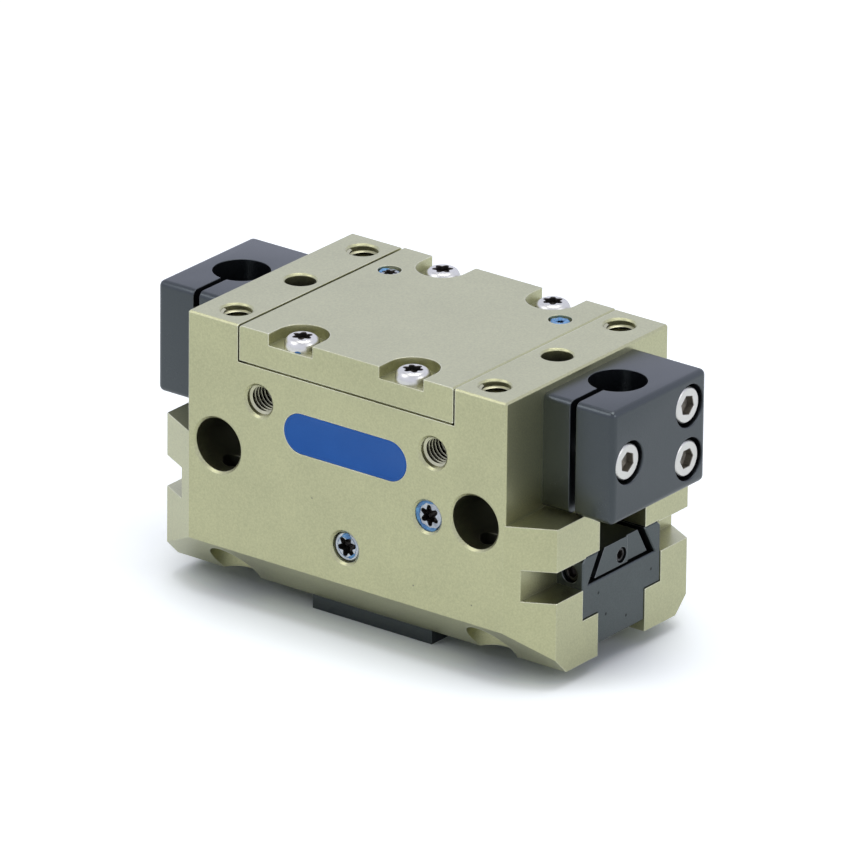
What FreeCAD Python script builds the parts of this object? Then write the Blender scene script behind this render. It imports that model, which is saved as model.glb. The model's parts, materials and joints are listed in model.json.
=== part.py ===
import FreeCAD, Part
import os
import re

import Sketcher
from FreeCAD import Placement, Rotation, Vector

# Two-jaw pneumatic parallel gripper with a wedge-hook drive, standing on its base plate.
# X runs along the jaw travel, Y from front to back and Z up. Heights in the table are measured
# from the underside of the guide, and the base plate lies below that plane.

SIZES = {
    # Block with the cylinder, and the longer guide below it
    "body_depth": 42.0,
    "block_length": 62.1,
    "block_height": 45.1,
    "guide_length": 76.4,
    "guide_height": 24.7,
    "corner_bevel_length": 7.5,
    "corner_bevel_depth": 4.0,
    "bottom_chamfer": 6.75,
    "edge_break": 0.3,
    # T-slot of the jaws
    "slot_head_width": 20.3,
    "slot_head_bottom": 7.2,
    "slot_head_top": 17.7,
    "slot_head_chamfer": 0.75,
    "slot_stem_width": 12.2,
    # Slot under each sensor, and the windows across the guide's ends
    "sensor_slot_width": 12.0,
    "sensor_slot_flare_height": 22.4,
    "sensor_slot_flare_width": 19.6,
    "sensor_slot_reach": 8.5,
    "window_bottom": 12.3,
    "window_top": 17.5,
    "window_reach": 5.0,
    # Cylinder
    "bore_diameter": 30.0,
    "chamber_floor": 24.4,
    "running_clearance": 0.05,
    # Cover of the cylinder
    "cover_length": 41.7,
    "cover_thickness": 6.2,
    "cover_gap": 0.3,
    "cover_relief_height": 0.35,
    "cover_relief_depth": 0.8,
    "cover_screw_pitch_x": 21.6,
    "cover_screw_pitch_y": 36.0,
    "cover_slot_width": 8.6,
    "cover_slot_depth": 2.0,
    "cover_screw_length": 12.0,
    "cover_head_diameter": 5.7,
    "cover_head_height": 1.95,
    "cover_plug_inset": 4.15,
    "cover_plug_back": 12.0,
    "cover_plug_diameter": 3.7,
    "cover_plug_length": 4.0,
    "cover_plug_recess": 0.4,
    "seal_ring_diameter": 34.0,
    "seal_cord_diameter": 1.5,
    "seal_groove_width": 1.9,
    # Mounting holes
    "mount_pitch_x": 50.4,
    "mount_pitch_y": 32.2,
    "mount_thread": 5.0,
    "mount_thread_depth": 12.0,
    "mount_through": 4.3,
    "mount_counterbore": 8.0,
    "mount_counterbore_depth": 10.0,
    "dowel_pitch": 50.2,
    "dowel_diameter": 5.0,
    "dowel_depth": 8.0,
    "drill_point": 1.0,
    "drill_taper": 59.0,
    "side_hole_pitch": 50.3,
    "side_hole_height": 23.8,
    "side_hole_diameter": 8.8,
    "side_hole_depth": 10.5,
    # Air ports and sealed plugs on the front
    "port_pitch": 34.0,
    "port_wall": 3.1,
    "port_thread": 5.0,
    "port_depth": 8.0,
    "port_rim": 0.4,
    "plug_thread": 5.0,
    "plug_length": 5.0,
    "plug_recess": 0.7,
    "purge_plug_height": 13.0,
    "channel_plug_x": 16.0,
    "channel_plug_height": 22.4,
    "name_plate_length": 24.0,
    "name_plate_width": 6.8,
    "name_plate_drop": 3.4,
    "name_plate_thickness": 0.4,
    # Base plate and its screws
    "base_plate_height": 2.65,
    "base_plate_length": 23.4,
    "base_plate_depth": 27.4,
    "base_screw_inset_x": 3.7,
    "base_screw_inset_y": 3.5,
    "base_screw_length": 6.0,
    "base_head_diameter": 5.8,
    # Small screws in threaded holes
    "small_thread": 3.0,
    "thread_gap": 0.05,
    "thread_runout": 1.0,
    # Piston, rod and seals
    "piston_height": 6.0,
    "piston_lift": 0.3,
    "piston_seal_height": 2.2,
    "piston_seal_depth": 1.8,
    "guide_ring_height": 1.6,
    "guide_ring_depth": 1.0,
    "piston_land": 0.7,
    "rod_diameter": 10.0,
    "bush_diameter": 14.0,
    "bush_height": 3.5,
    "bush_lip": 1.0,
    "rod_seal_height": 1.9,
    "bolt_thread": 5.0,
    "bolt_head_diameter": 8.5,
    "bolt_head_height": 2.8,
    "bolt_head_recess": 0.3,
    "bolt_grip": 6.0,
    # Wedge hook and the ribs that pull the jaws
    "hook_lift": 0.4,
    "hook_height": 9.0,
    "hook_width": 11.8,
    "hook_foot": 11.0,
    "wedge_slope": 0.75,
    "wedge_clearance": 0.05,
    "rib_neck_width": 4.6,
    "rib_neck_depth": 1.8,
    "rib_head_width": 8.4,
    "rib_head_depth": 2.0,
    "rib_root": 1.0,
    # Base jaws with their finger holes
    "jaw_bottom": 2.0,
    "jaw_top": 17.5,
    "jaw_clearance": 0.05,
    "jaw_inset": 0.1,
    "jaw_edge": 0.2,
    "finger_thread": 4.0,
    "finger_thread_depth": 8.0,
    "finger_pitch": 12.0,
    "finger_inset": 12.1,
    "finger_dowel": 5.0,
    "finger_dowel_depth": 5.0,
    # Adjustable cam in the dovetail of each jaw
    "dovetail_width": 17.4,
    "dovetail_floor": 12.7,
    "dovetail_slope": 0.577,
    "dovetail_reach": 9.5,
    "cam_width": 13.9,
    "cam_bottom": 13.2,
    "cam_length": 9.0,
    "cam_inset": 0.2,
    "cam_shift": 0.2,
    "cam_step": 0.3,
    "cam_step_offset": 1.7,
    "cam_screw_diameter": 2.5,
    "cam_screw_length": 4.0,
    "cam_screw_height": 14.8,
    "cam_screw_recess": 0.3,
    "side_screw_diameter": 3.0,
    "side_screw_length": 3.2,
    "side_screw_tip": 0.8,
    "side_screw_height": 14.5,
    "side_screw_inset": 2.5,
    "side_screw_stagger": 1.4,
    "side_screw_gap": 0.1,
    # Clamp brackets for round sensors
    "bracket_length": 13.5,
    "bracket_width": 23.0,
    "bracket_lift": 0.3,
    "bracket_drop": 1.3,
    "bracket_round": 1.0,
    "sensor_bore": 9.3,
    "sensor_bore_inset": 5.75,
    "slit_width": 1.2,
    "clamp_screw_front": 7.2,
    "bracket_screw_back": 8.3,
    "bracket_screw_pitch": 8.9,
    "cap_head_diameter": 5.6,
    "cap_head_height": 3.0,
    "cap_counterbore": 7.0,
    "cap_recess": 0.4,
    "cap_socket": 2.5,
    "cap_socket_depth": 1.6,
    "bracket_screw_grip": 6.5,
    "clamp_screw_tip": 0.6,
}

# Planes and edges that several pieces share
BLOCK_END = "block_length / 2"
GUIDE_END = "guide_length / 2"
FACE = "body_depth / 2"
COVER_SEAT = "(block_height - cover_thickness)"
COVER_EDGE = "(cover_length / 2 + cover_gap)"
COVER_PLUG_X = "(cover_length / 2 - cover_plug_inset)"
PORT_LEVEL = f"({COVER_SEAT} - port_wall - port_thread / 2)"
NAME_LEVEL = f"({PORT_LEVEL} - name_plate_drop)"
BASE_PITCH_X = "(base_plate_length - 2 * base_screw_inset_x)"
BASE_PITCH_Y = "(base_plate_depth - 2 * base_screw_inset_y)"
TAPPED = "(small_thread + 2 * thread_gap)"
BRACKET_HEIGHT = "(block_height - bracket_drop - guide_height - bracket_lift)"
BRACKET_MIDDLE = f"(guide_height + bracket_lift + {BRACKET_HEIGHT} / 2)"
BRACKET_TOP = "block_height - bracket_drop"
BRACKET_FACE = "(block_length / 2 + bracket_length)"
CAP_SEAT = f"({BRACKET_FACE} - cap_recess - cap_head_height)"
PISTON_FOOT = "(chamber_floor + piston_lift)"
HOOK_TOP = "(hook_lift + hook_height)"
JAW_END = "(guide_length / 2 - jaw_inset)"
FRONT_SCREW = "side_screw_inset"
BACK_SCREW = "(side_screw_inset + side_screw_stagger)"
JAW_FLANK = "(hook_foot / 2 + wedge_slope * (jaw_bottom - hook_lift))"
SIGNS = (("", ""), ("-", ""), ("", "-"), ("-", "-"))
UPWARD = Rotation()
RIGHTWARD = Rotation(Vector(0, 0, 1), Vector(1, 0, 0))
FORWARD = Rotation(Vector(0, 0, 1), Vector(0, -1, 0))
BACKWARD = Rotation(Vector(0, 0, 1), Vector(0, 1, 0))
DOWNWARD = Rotation(Vector(1, 0, 0), 180)
HALF_TURN = Rotation(Vector(0, 0, 1), 180)
FLIPPED = Rotation(Vector(0, 1, 0), 180)

doc = FreeCAD.newDocument("parallel_gripper")
sheet = doc.addObject("Spreadsheet::Sheet", "Sizes")
for row, (alias, size) in enumerate(SIZES.items(), start=1):
    sheet.set(f"A{row}", alias)
    sheet.set(f"B{row}", str(size))
    sheet.setAlias(f"B{row}", alias)
doc.recompute()
nodes = []


def cells(text):
    """Give an expression in which every alias is a cell of the sheet."""
    return re.sub(r"[a-z_]+", lambda word: f"Sizes.{word[0]}" if word[0] in SIZES else word[0], text)


def number(text):
    """Give the present value of an expression."""
    return float(sheet.evalExpression(text))


def place(item, x="0", y="0", z="0", turn=UPWARD):
    """Put an object at a place whose height counts from the guide's underside."""
    item.Placement = Placement(Vector(), turn)
    item.setExpression("Placement.Base.x", cells(x))
    item.setExpression("Placement.Base.y", cells(y))
    item.setExpression("Placement.Base.z", cells(f"base_plate_height + {z}"))


def new_body(label, is_node=True):
    """Start a piece at the guide's underside."""
    body = doc.addObject("PartDesign::Body", label)
    body.Label = label
    place(body)
    if is_node:
        nodes.append(body)
    return body


def group(label, bodies):
    """Join equal loose pieces in one node."""
    joined = doc.addObject("Part::Compound", label)
    joined.Label = label
    joined.Links = bodies
    nodes.append(joined)


def sketch(body, name, plane, offset="0"):
    """Start a sketch at an offset along the normal of one of the body's planes."""
    made = body.newObject("Sketcher::SketchObject", f"{body.Label}_{name}")
    support = next(item for item in body.Origin.OriginFeatures if item.Role == plane)
    made.AttachmentSupport = [(support, "")]
    made.MapMode = "FlatFace"
    made.setExpression("AttachmentOffset.Base.z", cells(offset))
    return made


def fix(made, kind, spot, text):
    """Dimension a point or circle of a sketch with an expression."""
    if kind == "DistanceX" and text == "0":
        made.addConstraint(Sketcher.Constraint("PointOnObject", *spot, -2))
    elif kind == "DistanceY" and text == "0":
        made.addConstraint(Sketcher.Constraint("PointOnObject", *spot, -1))
    else:
        ends = spot if kind == "Diameter" else (-1, 1, *spot)
        index = made.addConstraint(Sketcher.Constraint(kind, *ends, number(text)))
        made.setExpression(f"Constraints[{index}]", cells(text))


def outline(made, points):
    """Draw a closed outline through points that are pairs of expressions."""
    first = made.GeometryCount
    count = len(points)
    spots = [Vector(number(across), number(along), 0) for across, along in points]
    for index in range(count):
        made.addGeometry(Part.LineSegment(spots[index], spots[(index + 1) % count]), False)
    for index, (across, along) in enumerate(points):
        line = first + index
        made.addConstraint(Sketcher.Constraint("Coincident", line, 2, first + (index + 1) % count, 1))
        fix(made, "DistanceX", (line, 1), across)
        fix(made, "DistanceY", (line, 1), along)
    return made


def rectangle(made, left, right, bottom, top):
    """Draw a rectangle between four expressions."""
    return outline(made, [(left, bottom), (right, bottom), (right, top), (left, top)])


def circles(made, spots, diameter):
    """Draw equal circles round points that are pairs of expressions."""
    for across, along in spots:
        middle = Vector(number(across), number(along), 0)
        index = made.addGeometry(Part.Circle(middle, Vector(0, 0, 1), number(diameter) / 2), False)
        fix(made, "DistanceX", (index, 3), across)
        fix(made, "DistanceY", (index, 3), along)
        fix(made, "Diameter", (index,), diameter)
    return made


def corners(pitch_x, pitch_y):
    """Give the four corners of a rectangle of holes."""
    return [(f"{a}{pitch_x} / 2", f"{b}{pitch_y} / 2") for a, b in SIGNS]


def extrude(body, kind, made, depth, both, flip, lean):
    """Add a pad or pocket, square to its sketch or leaning along X."""
    feature = body.newObject(f"PartDesign::{kind}", f"{made.Name}_{kind.lower()}")
    feature.Profile = made
    if depth is None:
        feature.Type = "ThroughAll"
    else:
        feature.setExpression("Length", cells(depth))
    feature.SideType = "Symmetric" if both else "One side"
    feature.Reversed = flip
    if lean:
        feature.UseCustomVector = True
        feature.AlongSketchNormal = True
        feature.Direction = Vector(number(lean), 0, 1)
        feature.setExpression("Direction.x", cells(lean))
    doc.recompute()
    return feature


def pad(body, made, depth, both=False, flip=False, lean=None):
    """Raise material on a sketch."""
    return extrude(body, "Pad", made, depth, both, flip, lean)


def pocket(body, made, depth=None, both=False, flip=False, lean=None):
    """Cut a sketch into the piece, and make sure that it cuts."""
    before = body.Shape.Volume
    feature = extrude(body, "Pocket", made, depth, both, flip, lean)
    if not body.Shape.Volume < before:
        raise RuntimeError(f"{feature.Name} cuts nothing")
    return feature


def revolve(body, made):
    """Turn a sketch about its upright axis."""
    feature = body.newObject("PartDesign::Revolution", f"{made.Name}_turned")
    feature.Profile = made
    feature.ReferenceAxis = (made, ["V_Axis"])
    doc.recompute()
    return feature


def dress(body, kind, size, chosen):
    """Chamfer or round the edges that a test picks out."""
    base = body.Tip
    names = [f"Edge{i}" for i, edge in enumerate(base.Shape.Edges, start=1) if chosen(edge)]
    if not names:
        raise RuntimeError(f"no edge of {body.Label} to dress")
    feature = body.newObject(f"PartDesign::{kind}", f"{body.Label}_{kind.lower()}_{len(body.Group)}")
    feature.Base = (base, names)
    feature.setExpression("Size" if kind == "Chamfer" else "Radius", cells(size))
    doc.recompute()


def near(value, text):
    """Tell whether a coordinate lies at an expression's value."""
    return abs(value - number(text)) < 1e-4


def is_rim(edge, diameter, axis, level):
    """Tell whether an edge is a full circle of a diameter at a level along an axis."""
    if not isinstance(edge.Curve, Part.Circle) or not edge.isClosed():
        return False
    return near(2 * edge.Curve.Radius, diameter) and near(getattr(edge.Curve.Center, axis), level)


def ring(label, inner, outer, bottom, top):
    """Make a plain turned ring round the cylinder's axis."""
    body = new_body(label)
    made = sketch(body, "section", "XZ_Plane")
    rectangle(made, inner, outer, bottom, top)
    revolve(body, made)


def set_screw(label, diameter, length, tip=None, is_node=False):
    """Make a headless screw, flat or pointed, whose outer end lies at its origin."""
    body = new_body(label, is_node)
    made = sketch(body, "section", "XZ_Plane")
    side = f"{diameter} / 2"
    if tip:
        end = [(side, f"({diameter} - {tip}) / 2 - {length}"), (f"{tip} / 2", f"-{length}")]
    else:
        end = [(side, f"-{length}")]
    outline(made, [("0", "0"), (side, "0"), *end, ("0", f"-{length}")])
    revolve(body, made)
    return body


def headed_screw(label, diameter, length, head_diameter, head_height, is_node=False):
    """Make a screw with a round head, whose head seat lies at its origin."""
    body = new_body(label, is_node)
    made = sketch(body, "section", "XZ_Plane")
    shank = f"{diameter} / 2"
    head = f"{head_diameter} / 2"
    outline(made, [
        ("0", f"-{length}"), (shank, f"-{length}"), (shank, "0"),
        (head, "0"), (head, head_height), ("0", head_height),
    ])
    revolve(body, made)
    return body


def cap_screw(label, length, is_node=False):
    """Make a socket-head screw with its hexagon socket."""
    body = headed_screw(label, "small_thread", length, "cap_head_diameter", "cap_head_height", is_node)
    socket = sketch(body, "socket", "XY_Plane", "cap_head_height")
    outline(socket, [
        (f"cap_socket / sqrt(3) * cos({angle} deg)", f"cap_socket / sqrt(3) * sin({angle} deg)")
        for angle in range(30, 390, 60)
    ])
    pocket(body, socket, "cap_socket_depth")
    return body


def housing_form(body):
    """Raise the guide and the block, and cut the seat of the cover and the bottom bevels."""
    plan = sketch(body, "guide_plan", "XY_Plane")
    bevel_x = f"({GUIDE_END} - corner_bevel_length)"
    bevel_y = f"({FACE} - corner_bevel_depth)"
    outline(plan, [
        (f"-{bevel_x}", f"-{FACE}"), (bevel_x, f"-{FACE}"), (GUIDE_END, f"-{bevel_y}"), (GUIDE_END, bevel_y),
        (bevel_x, FACE), (f"-{bevel_x}", FACE), (f"-{GUIDE_END}", bevel_y), (f"-{GUIDE_END}", f"-{bevel_y}"),
    ])
    pad(body, plan, "guide_height")
    block = sketch(body, "block_plan", "XY_Plane")
    rectangle(block, f"-{BLOCK_END}", BLOCK_END, f"-{FACE}", FACE)
    pad(body, block, "block_height")
    seat = sketch(body, "cover_seat", "XZ_Plane")
    rectangle(seat, f"-{COVER_EDGE}", COVER_EDGE, COVER_SEAT, "block_height + cover_gap")
    pocket(body, seat, both=True)
    for side in ("", "-"):
        bevel = sketch(body, "bottom_bevel", "YZ_Plane")
        outline(bevel, [
            (f"{side}{FACE}", "0"), (f"{side}{FACE}", "bottom_chamfer"),
            (f"{side}({FACE} - bottom_chamfer)", "0"),
        ])
        pocket(body, bevel, both=True)


def housing_slots(body):
    """Cut the T-slot, the slots under the sensors and the windows across the ends."""
    stem = "slot_stem_width / 2"
    head = "slot_head_width / 2"
    shoulder = f"({head} - slot_head_chamfer)"
    tee = sketch(body, "tee_slot", "YZ_Plane")
    outline(tee, [
        (f"-{stem}", "0"), (stem, "0"), (stem, "slot_head_bottom"), (head, "slot_head_bottom"),
        (head, "slot_head_top - slot_head_chamfer"), (shoulder, "slot_head_top"),
        (f"-{shoulder}", "slot_head_top"), (f"-{head}", "slot_head_top - slot_head_chamfer"),
        (f"-{head}", "slot_head_bottom"), (f"-{stem}", "slot_head_bottom"),
    ])
    pocket(body, tee, both=True)
    gap = "sensor_slot_width / 2"
    flare = "sensor_slot_flare_width / 2"
    for side, flip in (("", False), ("-", True)):
        slot = sketch(body, "sensor_slot", "YZ_Plane", f"{side}{GUIDE_END}")
        outline(slot, [
            (f"-{gap}", "slot_head_top"), (gap, "slot_head_top"), (gap, "sensor_slot_flare_height"),
            (flare, "guide_height"), (f"-{flare}", "guide_height"), (f"-{gap}", "sensor_slot_flare_height"),
        ])
        pocket(body, slot, "sensor_slot_reach", flip=flip)
        window = sketch(body, "window", "XZ_Plane")
        rectangle(window, f"{side}({GUIDE_END} - window_reach)", f"{side}{GUIDE_END}",
                  "window_bottom", "window_top")
        pocket(body, window, both=True)


def housing_cylinder(body):
    """Bore the cylinder, the seat of the rod's bush and the holes for the cover's screws."""
    steps = (
        ("bore", "bore_diameter", COVER_SEAT, f"{COVER_SEAT} - chamber_floor"),
        ("bush_seat", "bush_diameter", "chamber_floor", "chamber_floor - slot_head_top - bush_lip"),
        ("rod_way", "rod_diameter + 2 * bush_lip", "chamber_floor", "chamber_floor - slot_head_top"),
    )
    for name, diameter, level, depth in steps:
        hole = sketch(body, name, "XY_Plane", level)
        circles(hole, [("0", "0")], diameter)
        pocket(body, hole, depth)
    threads = sketch(body, "cover_threads", "XY_Plane", COVER_SEAT)
    circles(threads, corners("cover_screw_pitch_x", "cover_screw_pitch_y"), TAPPED)
    pocket(body, threads, "cover_screw_length - cover_thickness + cover_slot_depth + thread_runout")


def housing_mounts(body):
    """Drill the bolt, dowel and side holes by which the gripper is mounted."""
    spots = corners("mount_pitch_x", "mount_pitch_y")
    dowels = [("-dowel_pitch / 2", "0"), ("dowel_pitch / 2", "0")]
    through = sketch(body, "mount_through", "XY_Plane", "block_height")
    pocket(body, circles(through, spots, "mount_through"))
    thread = sketch(body, "mount_thread", "XY_Plane", "block_height")
    pocket(body, circles(thread, spots, "mount_thread"), "mount_thread_depth")
    counterbore = sketch(body, "mount_counterbore", "XY_Plane")
    pocket(body, circles(counterbore, spots, "mount_counterbore"), "mount_counterbore_depth", flip=True)
    pins = sketch(body, "dowels", "XY_Plane", "block_height")
    pocket(body, circles(pins, dowels, "dowel_diameter"), "dowel_depth")
    points = sketch(body, "dowel_points", "XY_Plane", "block_height - dowel_depth")
    cone = pocket(body, circles(points, dowels, "dowel_diameter"), "drill_point")
    cone.setExpression("TaperAngle", "-1 deg * " + cells("drill_taper"))
    doc.recompute()
    for side, flip in (("", False), ("-", True)):
        holes = sketch(body, "side_holes", "XZ_Plane", f"{side}{FACE}")
        circles(holes, [(f"{sign}side_hole_pitch / 2", "side_hole_height") for sign in ("", "-")],
                "side_hole_diameter")
        pocket(body, holes, "side_hole_depth", flip=flip)


def housing_ports(body):
    """Drill the air ports, the plugged channels and the recess of the name plate in the front."""
    ports = sketch(body, "ports", "XZ_Plane", FACE)
    circles(ports, [("-port_pitch / 2", PORT_LEVEL), ("port_pitch / 2", PORT_LEVEL)], "port_thread")
    pocket(body, ports, "port_depth")
    purge = sketch(body, "purge_channel", "XZ_Plane", FACE)
    circles(purge, [("0", "purge_plug_height")], "plug_thread + 2 * thread_gap")
    pocket(body, purge, f"{FACE} - slot_head_width / 2")
    channel = sketch(body, "side_channel", "XZ_Plane", FACE)
    circles(channel, [("channel_plug_x", "channel_plug_height")], "plug_thread + 2 * thread_gap")
    pocket(body, channel, "plug_recess + plug_length + thread_runout")
    recess = sketch(body, "name_recess", "XZ_Plane", FACE)
    pocket(body, stadium(recess, "name_plate_length", "name_plate_width", NAME_LEVEL), "name_plate_thickness")


def housing_threads(body):
    """Tap the holes for the bracket screws in the block's ends and the base plate's screws."""
    for side, flip in (("", False), ("-", True)):
        ends = sketch(body, "bracket_threads", "YZ_Plane", f"{side}{BLOCK_END}")
        circles(ends, [("bracket_screw_back", f"{BRACKET_MIDDLE} {sign} bracket_screw_pitch / 2")
                       for sign in ("+", "-")], TAPPED)
        pocket(body, ends, "bracket_screw_grip + thread_runout", flip=flip)
    base = sketch(body, "base_threads", "XY_Plane")
    circles(base, corners(BASE_PITCH_X, BASE_PITCH_Y), TAPPED)
    pocket(body, base, "base_screw_length - base_plate_height + thread_runout", flip=True)


def housing_edges(body):
    """Break the rims of the holes and the outer edges of the block."""
    dress(body, "Chamfer", "port_rim", lambda edge: (
        is_rim(edge, "port_thread", "y", f"-{FACE}")
        or is_rim(edge, "plug_thread + 2 * thread_gap", "y", f"-{FACE}")
        or is_rim(edge, "side_hole_diameter", "y", f"-{FACE}")
        or is_rim(edge, "side_hole_diameter", "y", FACE)
    ))
    dress(body, "Chamfer", "edge_break", lambda edge: (
        is_rim(edge, "mount_thread", "z", "block_height")
        or is_rim(edge, "dowel_diameter", "z", "block_height")
        or is_block_edge(edge)
    ))


def is_block_edge(edge):
    """Tell whether an edge is a straight outer edge of the block above the guide's ledge."""
    if not isinstance(edge.Curve, Part.Line):
        return False
    middle = edge.CenterOfMass
    along = edge.tangentAt(edge.FirstParameter)
    on_end = near(abs(middle.x), BLOCK_END)
    on_side = near(abs(middle.y), FACE)
    on_top = near(middle.z, "block_height")
    upright = abs(along.z) > 0.9 and middle.z > number("guide_height")
    return (on_end and on_top) or (on_side and on_top) or (on_end and on_side and upright)


def stadium(made, length, width, height):
    """Draw an outline with two straight sides and two round ends."""
    reach = f"({length} - {width}) / 2"
    low = f"{height} - {width} / 2"
    high = f"{height} + {width} / 2"
    left = -number(reach)
    right = number(reach)
    radius = number(width) / 2
    middle = number(height)
    made.addGeometry(Part.LineSegment(Vector(left, middle - radius), Vector(right, middle - radius)), False)
    made.addGeometry(Part.LineSegment(Vector(right, middle + radius), Vector(left, middle + radius)), False)
    quarter = number("acos(0) / 1 rad")
    for centre, start in ((right, -quarter), (left, quarter)):
        whole = Part.Circle(Vector(centre, middle, 0), Vector(0, 0, 1), radius)
        made.addGeometry(Part.ArcOfCircle(whole, start, start + 2 * quarter), False)
    for line, end, across, along in ((0, 1, f"-{reach}", low), (0, 2, reach, low),
                                     (1, 1, reach, high), (1, 2, f"-{reach}", high)):
        fix(made, "DistanceX", (line, end), across)
        fix(made, "DistanceY", (line, end), along)
    for line, end, arc, arc_end in ((0, 2, 2, 1), (2, 2, 1, 1), (1, 2, 3, 1), (3, 2, 0, 1)):
        made.addConstraint(Sketcher.Constraint("Coincident", line, end, arc, arc_end))
    fix(made, "DistanceX", (2, 3), reach)
    fix(made, "DistanceX", (3, 3), f"-{reach}")
    return made


def make_housing():
    """Make the housing, one block with the guide, the cylinder and all its holes."""
    body = new_body("housing")
    housing_form(body)
    housing_slots(body)
    housing_cylinder(body)
    housing_mounts(body)
    housing_ports(body)
    housing_threads(body)
    housing_edges(body)


def make_name_plate():
    """Make the bare plate that lies in the front face's recess."""
    body = new_body("name_plate")
    made = sketch(body, "outline", "XZ_Plane", f"{FACE} - name_plate_thickness")
    stadium(made, "(name_plate_length - 2 * thread_gap)", "(name_plate_width - 2 * thread_gap)", NAME_LEVEL)
    pad(body, made, "name_plate_thickness")


def make_front_plugs():
    """Make the two sealed plugs in the front face."""
    for label, across, height in (("purge_plug", "0", "purge_plug_height"),
                                  ("channel_plug", "channel_plug_x", "channel_plug_height")):
        plug = set_screw(label, "plug_thread", "plug_length", is_node=True)
        place(plug, across, f"-{FACE} + plug_recess", height, FORWARD)


def make_cover():
    """Make the cover plate, its O-ring, its screws and the plugs in it."""
    body = new_body("cover_plate")
    spots = corners("cover_screw_pitch_x", "cover_screw_pitch_y")
    plan = sketch(body, "plan", "XY_Plane", COVER_SEAT)
    rectangle(plan, "-cover_length / 2", "cover_length / 2", f"-{FACE}", FACE)
    pad(body, plan, "cover_thickness")
    wells = sketch(body, "screw_wells", "XY_Plane", "block_height")
    pocket(body, circles(wells, spots, "cover_slot_width"), "cover_slot_depth")
    mouths = sketch(body, "screw_mouths", "XY_Plane", "block_height")
    for a, b in SIGNS:
        middle = f"{a}cover_screw_pitch_x / 2"
        rectangle(mouths, f"{middle} - cover_slot_width / 2", f"{middle} + cover_slot_width / 2",
                  f"{b}cover_screw_pitch_y / 2", f"{b}({FACE} + cover_gap)")
    pocket(body, mouths, "cover_slot_depth")
    holes = sketch(body, "screw_holes", "XY_Plane", "block_height")
    pocket(body, circles(holes, spots, TAPPED))
    plugs = sketch(body, "plug_holes", "XY_Plane", "block_height")
    plug_spots = [(f"{sign}{COVER_PLUG_X}", "cover_plug_back") for sign in ("", "-")]
    circles(plugs, plug_spots, "cover_plug_diameter + 2 * thread_gap")
    pocket(body, plugs, "cover_plug_recess + cover_plug_length + thread_gap")
    groove = sketch(body, "seal_groove", "XY_Plane", COVER_SEAT)
    circles(groove, [("0", "0")], "seal_ring_diameter + seal_groove_width")
    circles(groove, [("0", "0")], "seal_ring_diameter - seal_groove_width")
    pocket(body, groove, "seal_cord_diameter", flip=True)
    relief = sketch(body, "edge_relief", "XY_Plane", COVER_SEAT)
    for inset in ("0", "cover_relief_depth"):
        across = f"(cover_length / 2 - {inset})"
        along = f"({FACE} - {inset})"
        rectangle(relief, f"-{across}", across, f"-{along}", along)
    pocket(body, relief, "cover_relief_height", flip=True)
    dress(body, "Chamfer", "edge_break", lambda edge: (
        isinstance(edge.Curve, Part.Line)
        and near(edge.CenterOfMass.z, "block_height")
        and near(abs(edge.CenterOfMass.x), "cover_length / 2")
    ))
    seal = doc.addObject("Part::Torus", "cover_seal")
    seal.Label = "cover_seal"
    seal.setExpression("Radius1", cells("seal_ring_diameter / 2"))
    seal.setExpression("Radius2", cells("seal_cord_diameter / 2 - thread_gap"))
    place(seal, z=f"{COVER_SEAT} + seal_cord_diameter / 2")
    nodes.append(seal)
    screws = []
    for across, along in spots:
        screw = headed_screw("cover_screw", "small_thread", "cover_screw_length",
                             "cover_head_diameter", "cover_head_height")
        place(screw, across, along, "block_height - cover_slot_depth")
        screws.append(screw)
    group("cover_screws", screws)
    pieces = []
    for across, along in plug_spots:
        plug = set_screw("cover_plug", "cover_plug_diameter", "cover_plug_length")
        place(plug, across, along, "block_height - cover_plug_recess")
        pieces.append(plug)
    group("cover_plugs", pieces)


def make_base_plate():
    """Make the plate under the guide and its four countersunk screws."""
    body = new_body("base_plate")
    spots = corners(BASE_PITCH_X, BASE_PITCH_Y)
    plan = sketch(body, "plan", "XY_Plane", "-base_plate_height")
    rectangle(plan, "-base_plate_length / 2", "base_plate_length / 2",
              "-base_plate_depth / 2", "base_plate_depth / 2")
    pad(body, plan, "base_plate_height")
    holes = sketch(body, "screw_holes", "XY_Plane")
    pocket(body, circles(holes, spots, TAPPED))
    dress(body, "Chamfer", "(base_head_diameter - small_thread) / 2",
          lambda edge: is_rim(edge, TAPPED, "z", "-base_plate_height"))
    screws = []
    for across, along in spots:
        screw = new_body("base_plate_screw", is_node=False)
        made = sketch(screw, "section", "XZ_Plane")
        shank = "small_thread / 2"
        head = "base_head_diameter / 2"
        outline(made, [
            ("0", "-base_screw_length"), (shank, "-base_screw_length"),
            (shank, f"-{head} + {shank}"), (head, "0"), ("0", "0"),
        ])
        revolve(screw, made)
        place(screw, across, along, "thread_gap - base_plate_height", DOWNWARD)
        screws.append(screw)
    group("base_plate_screws", screws)


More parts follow.
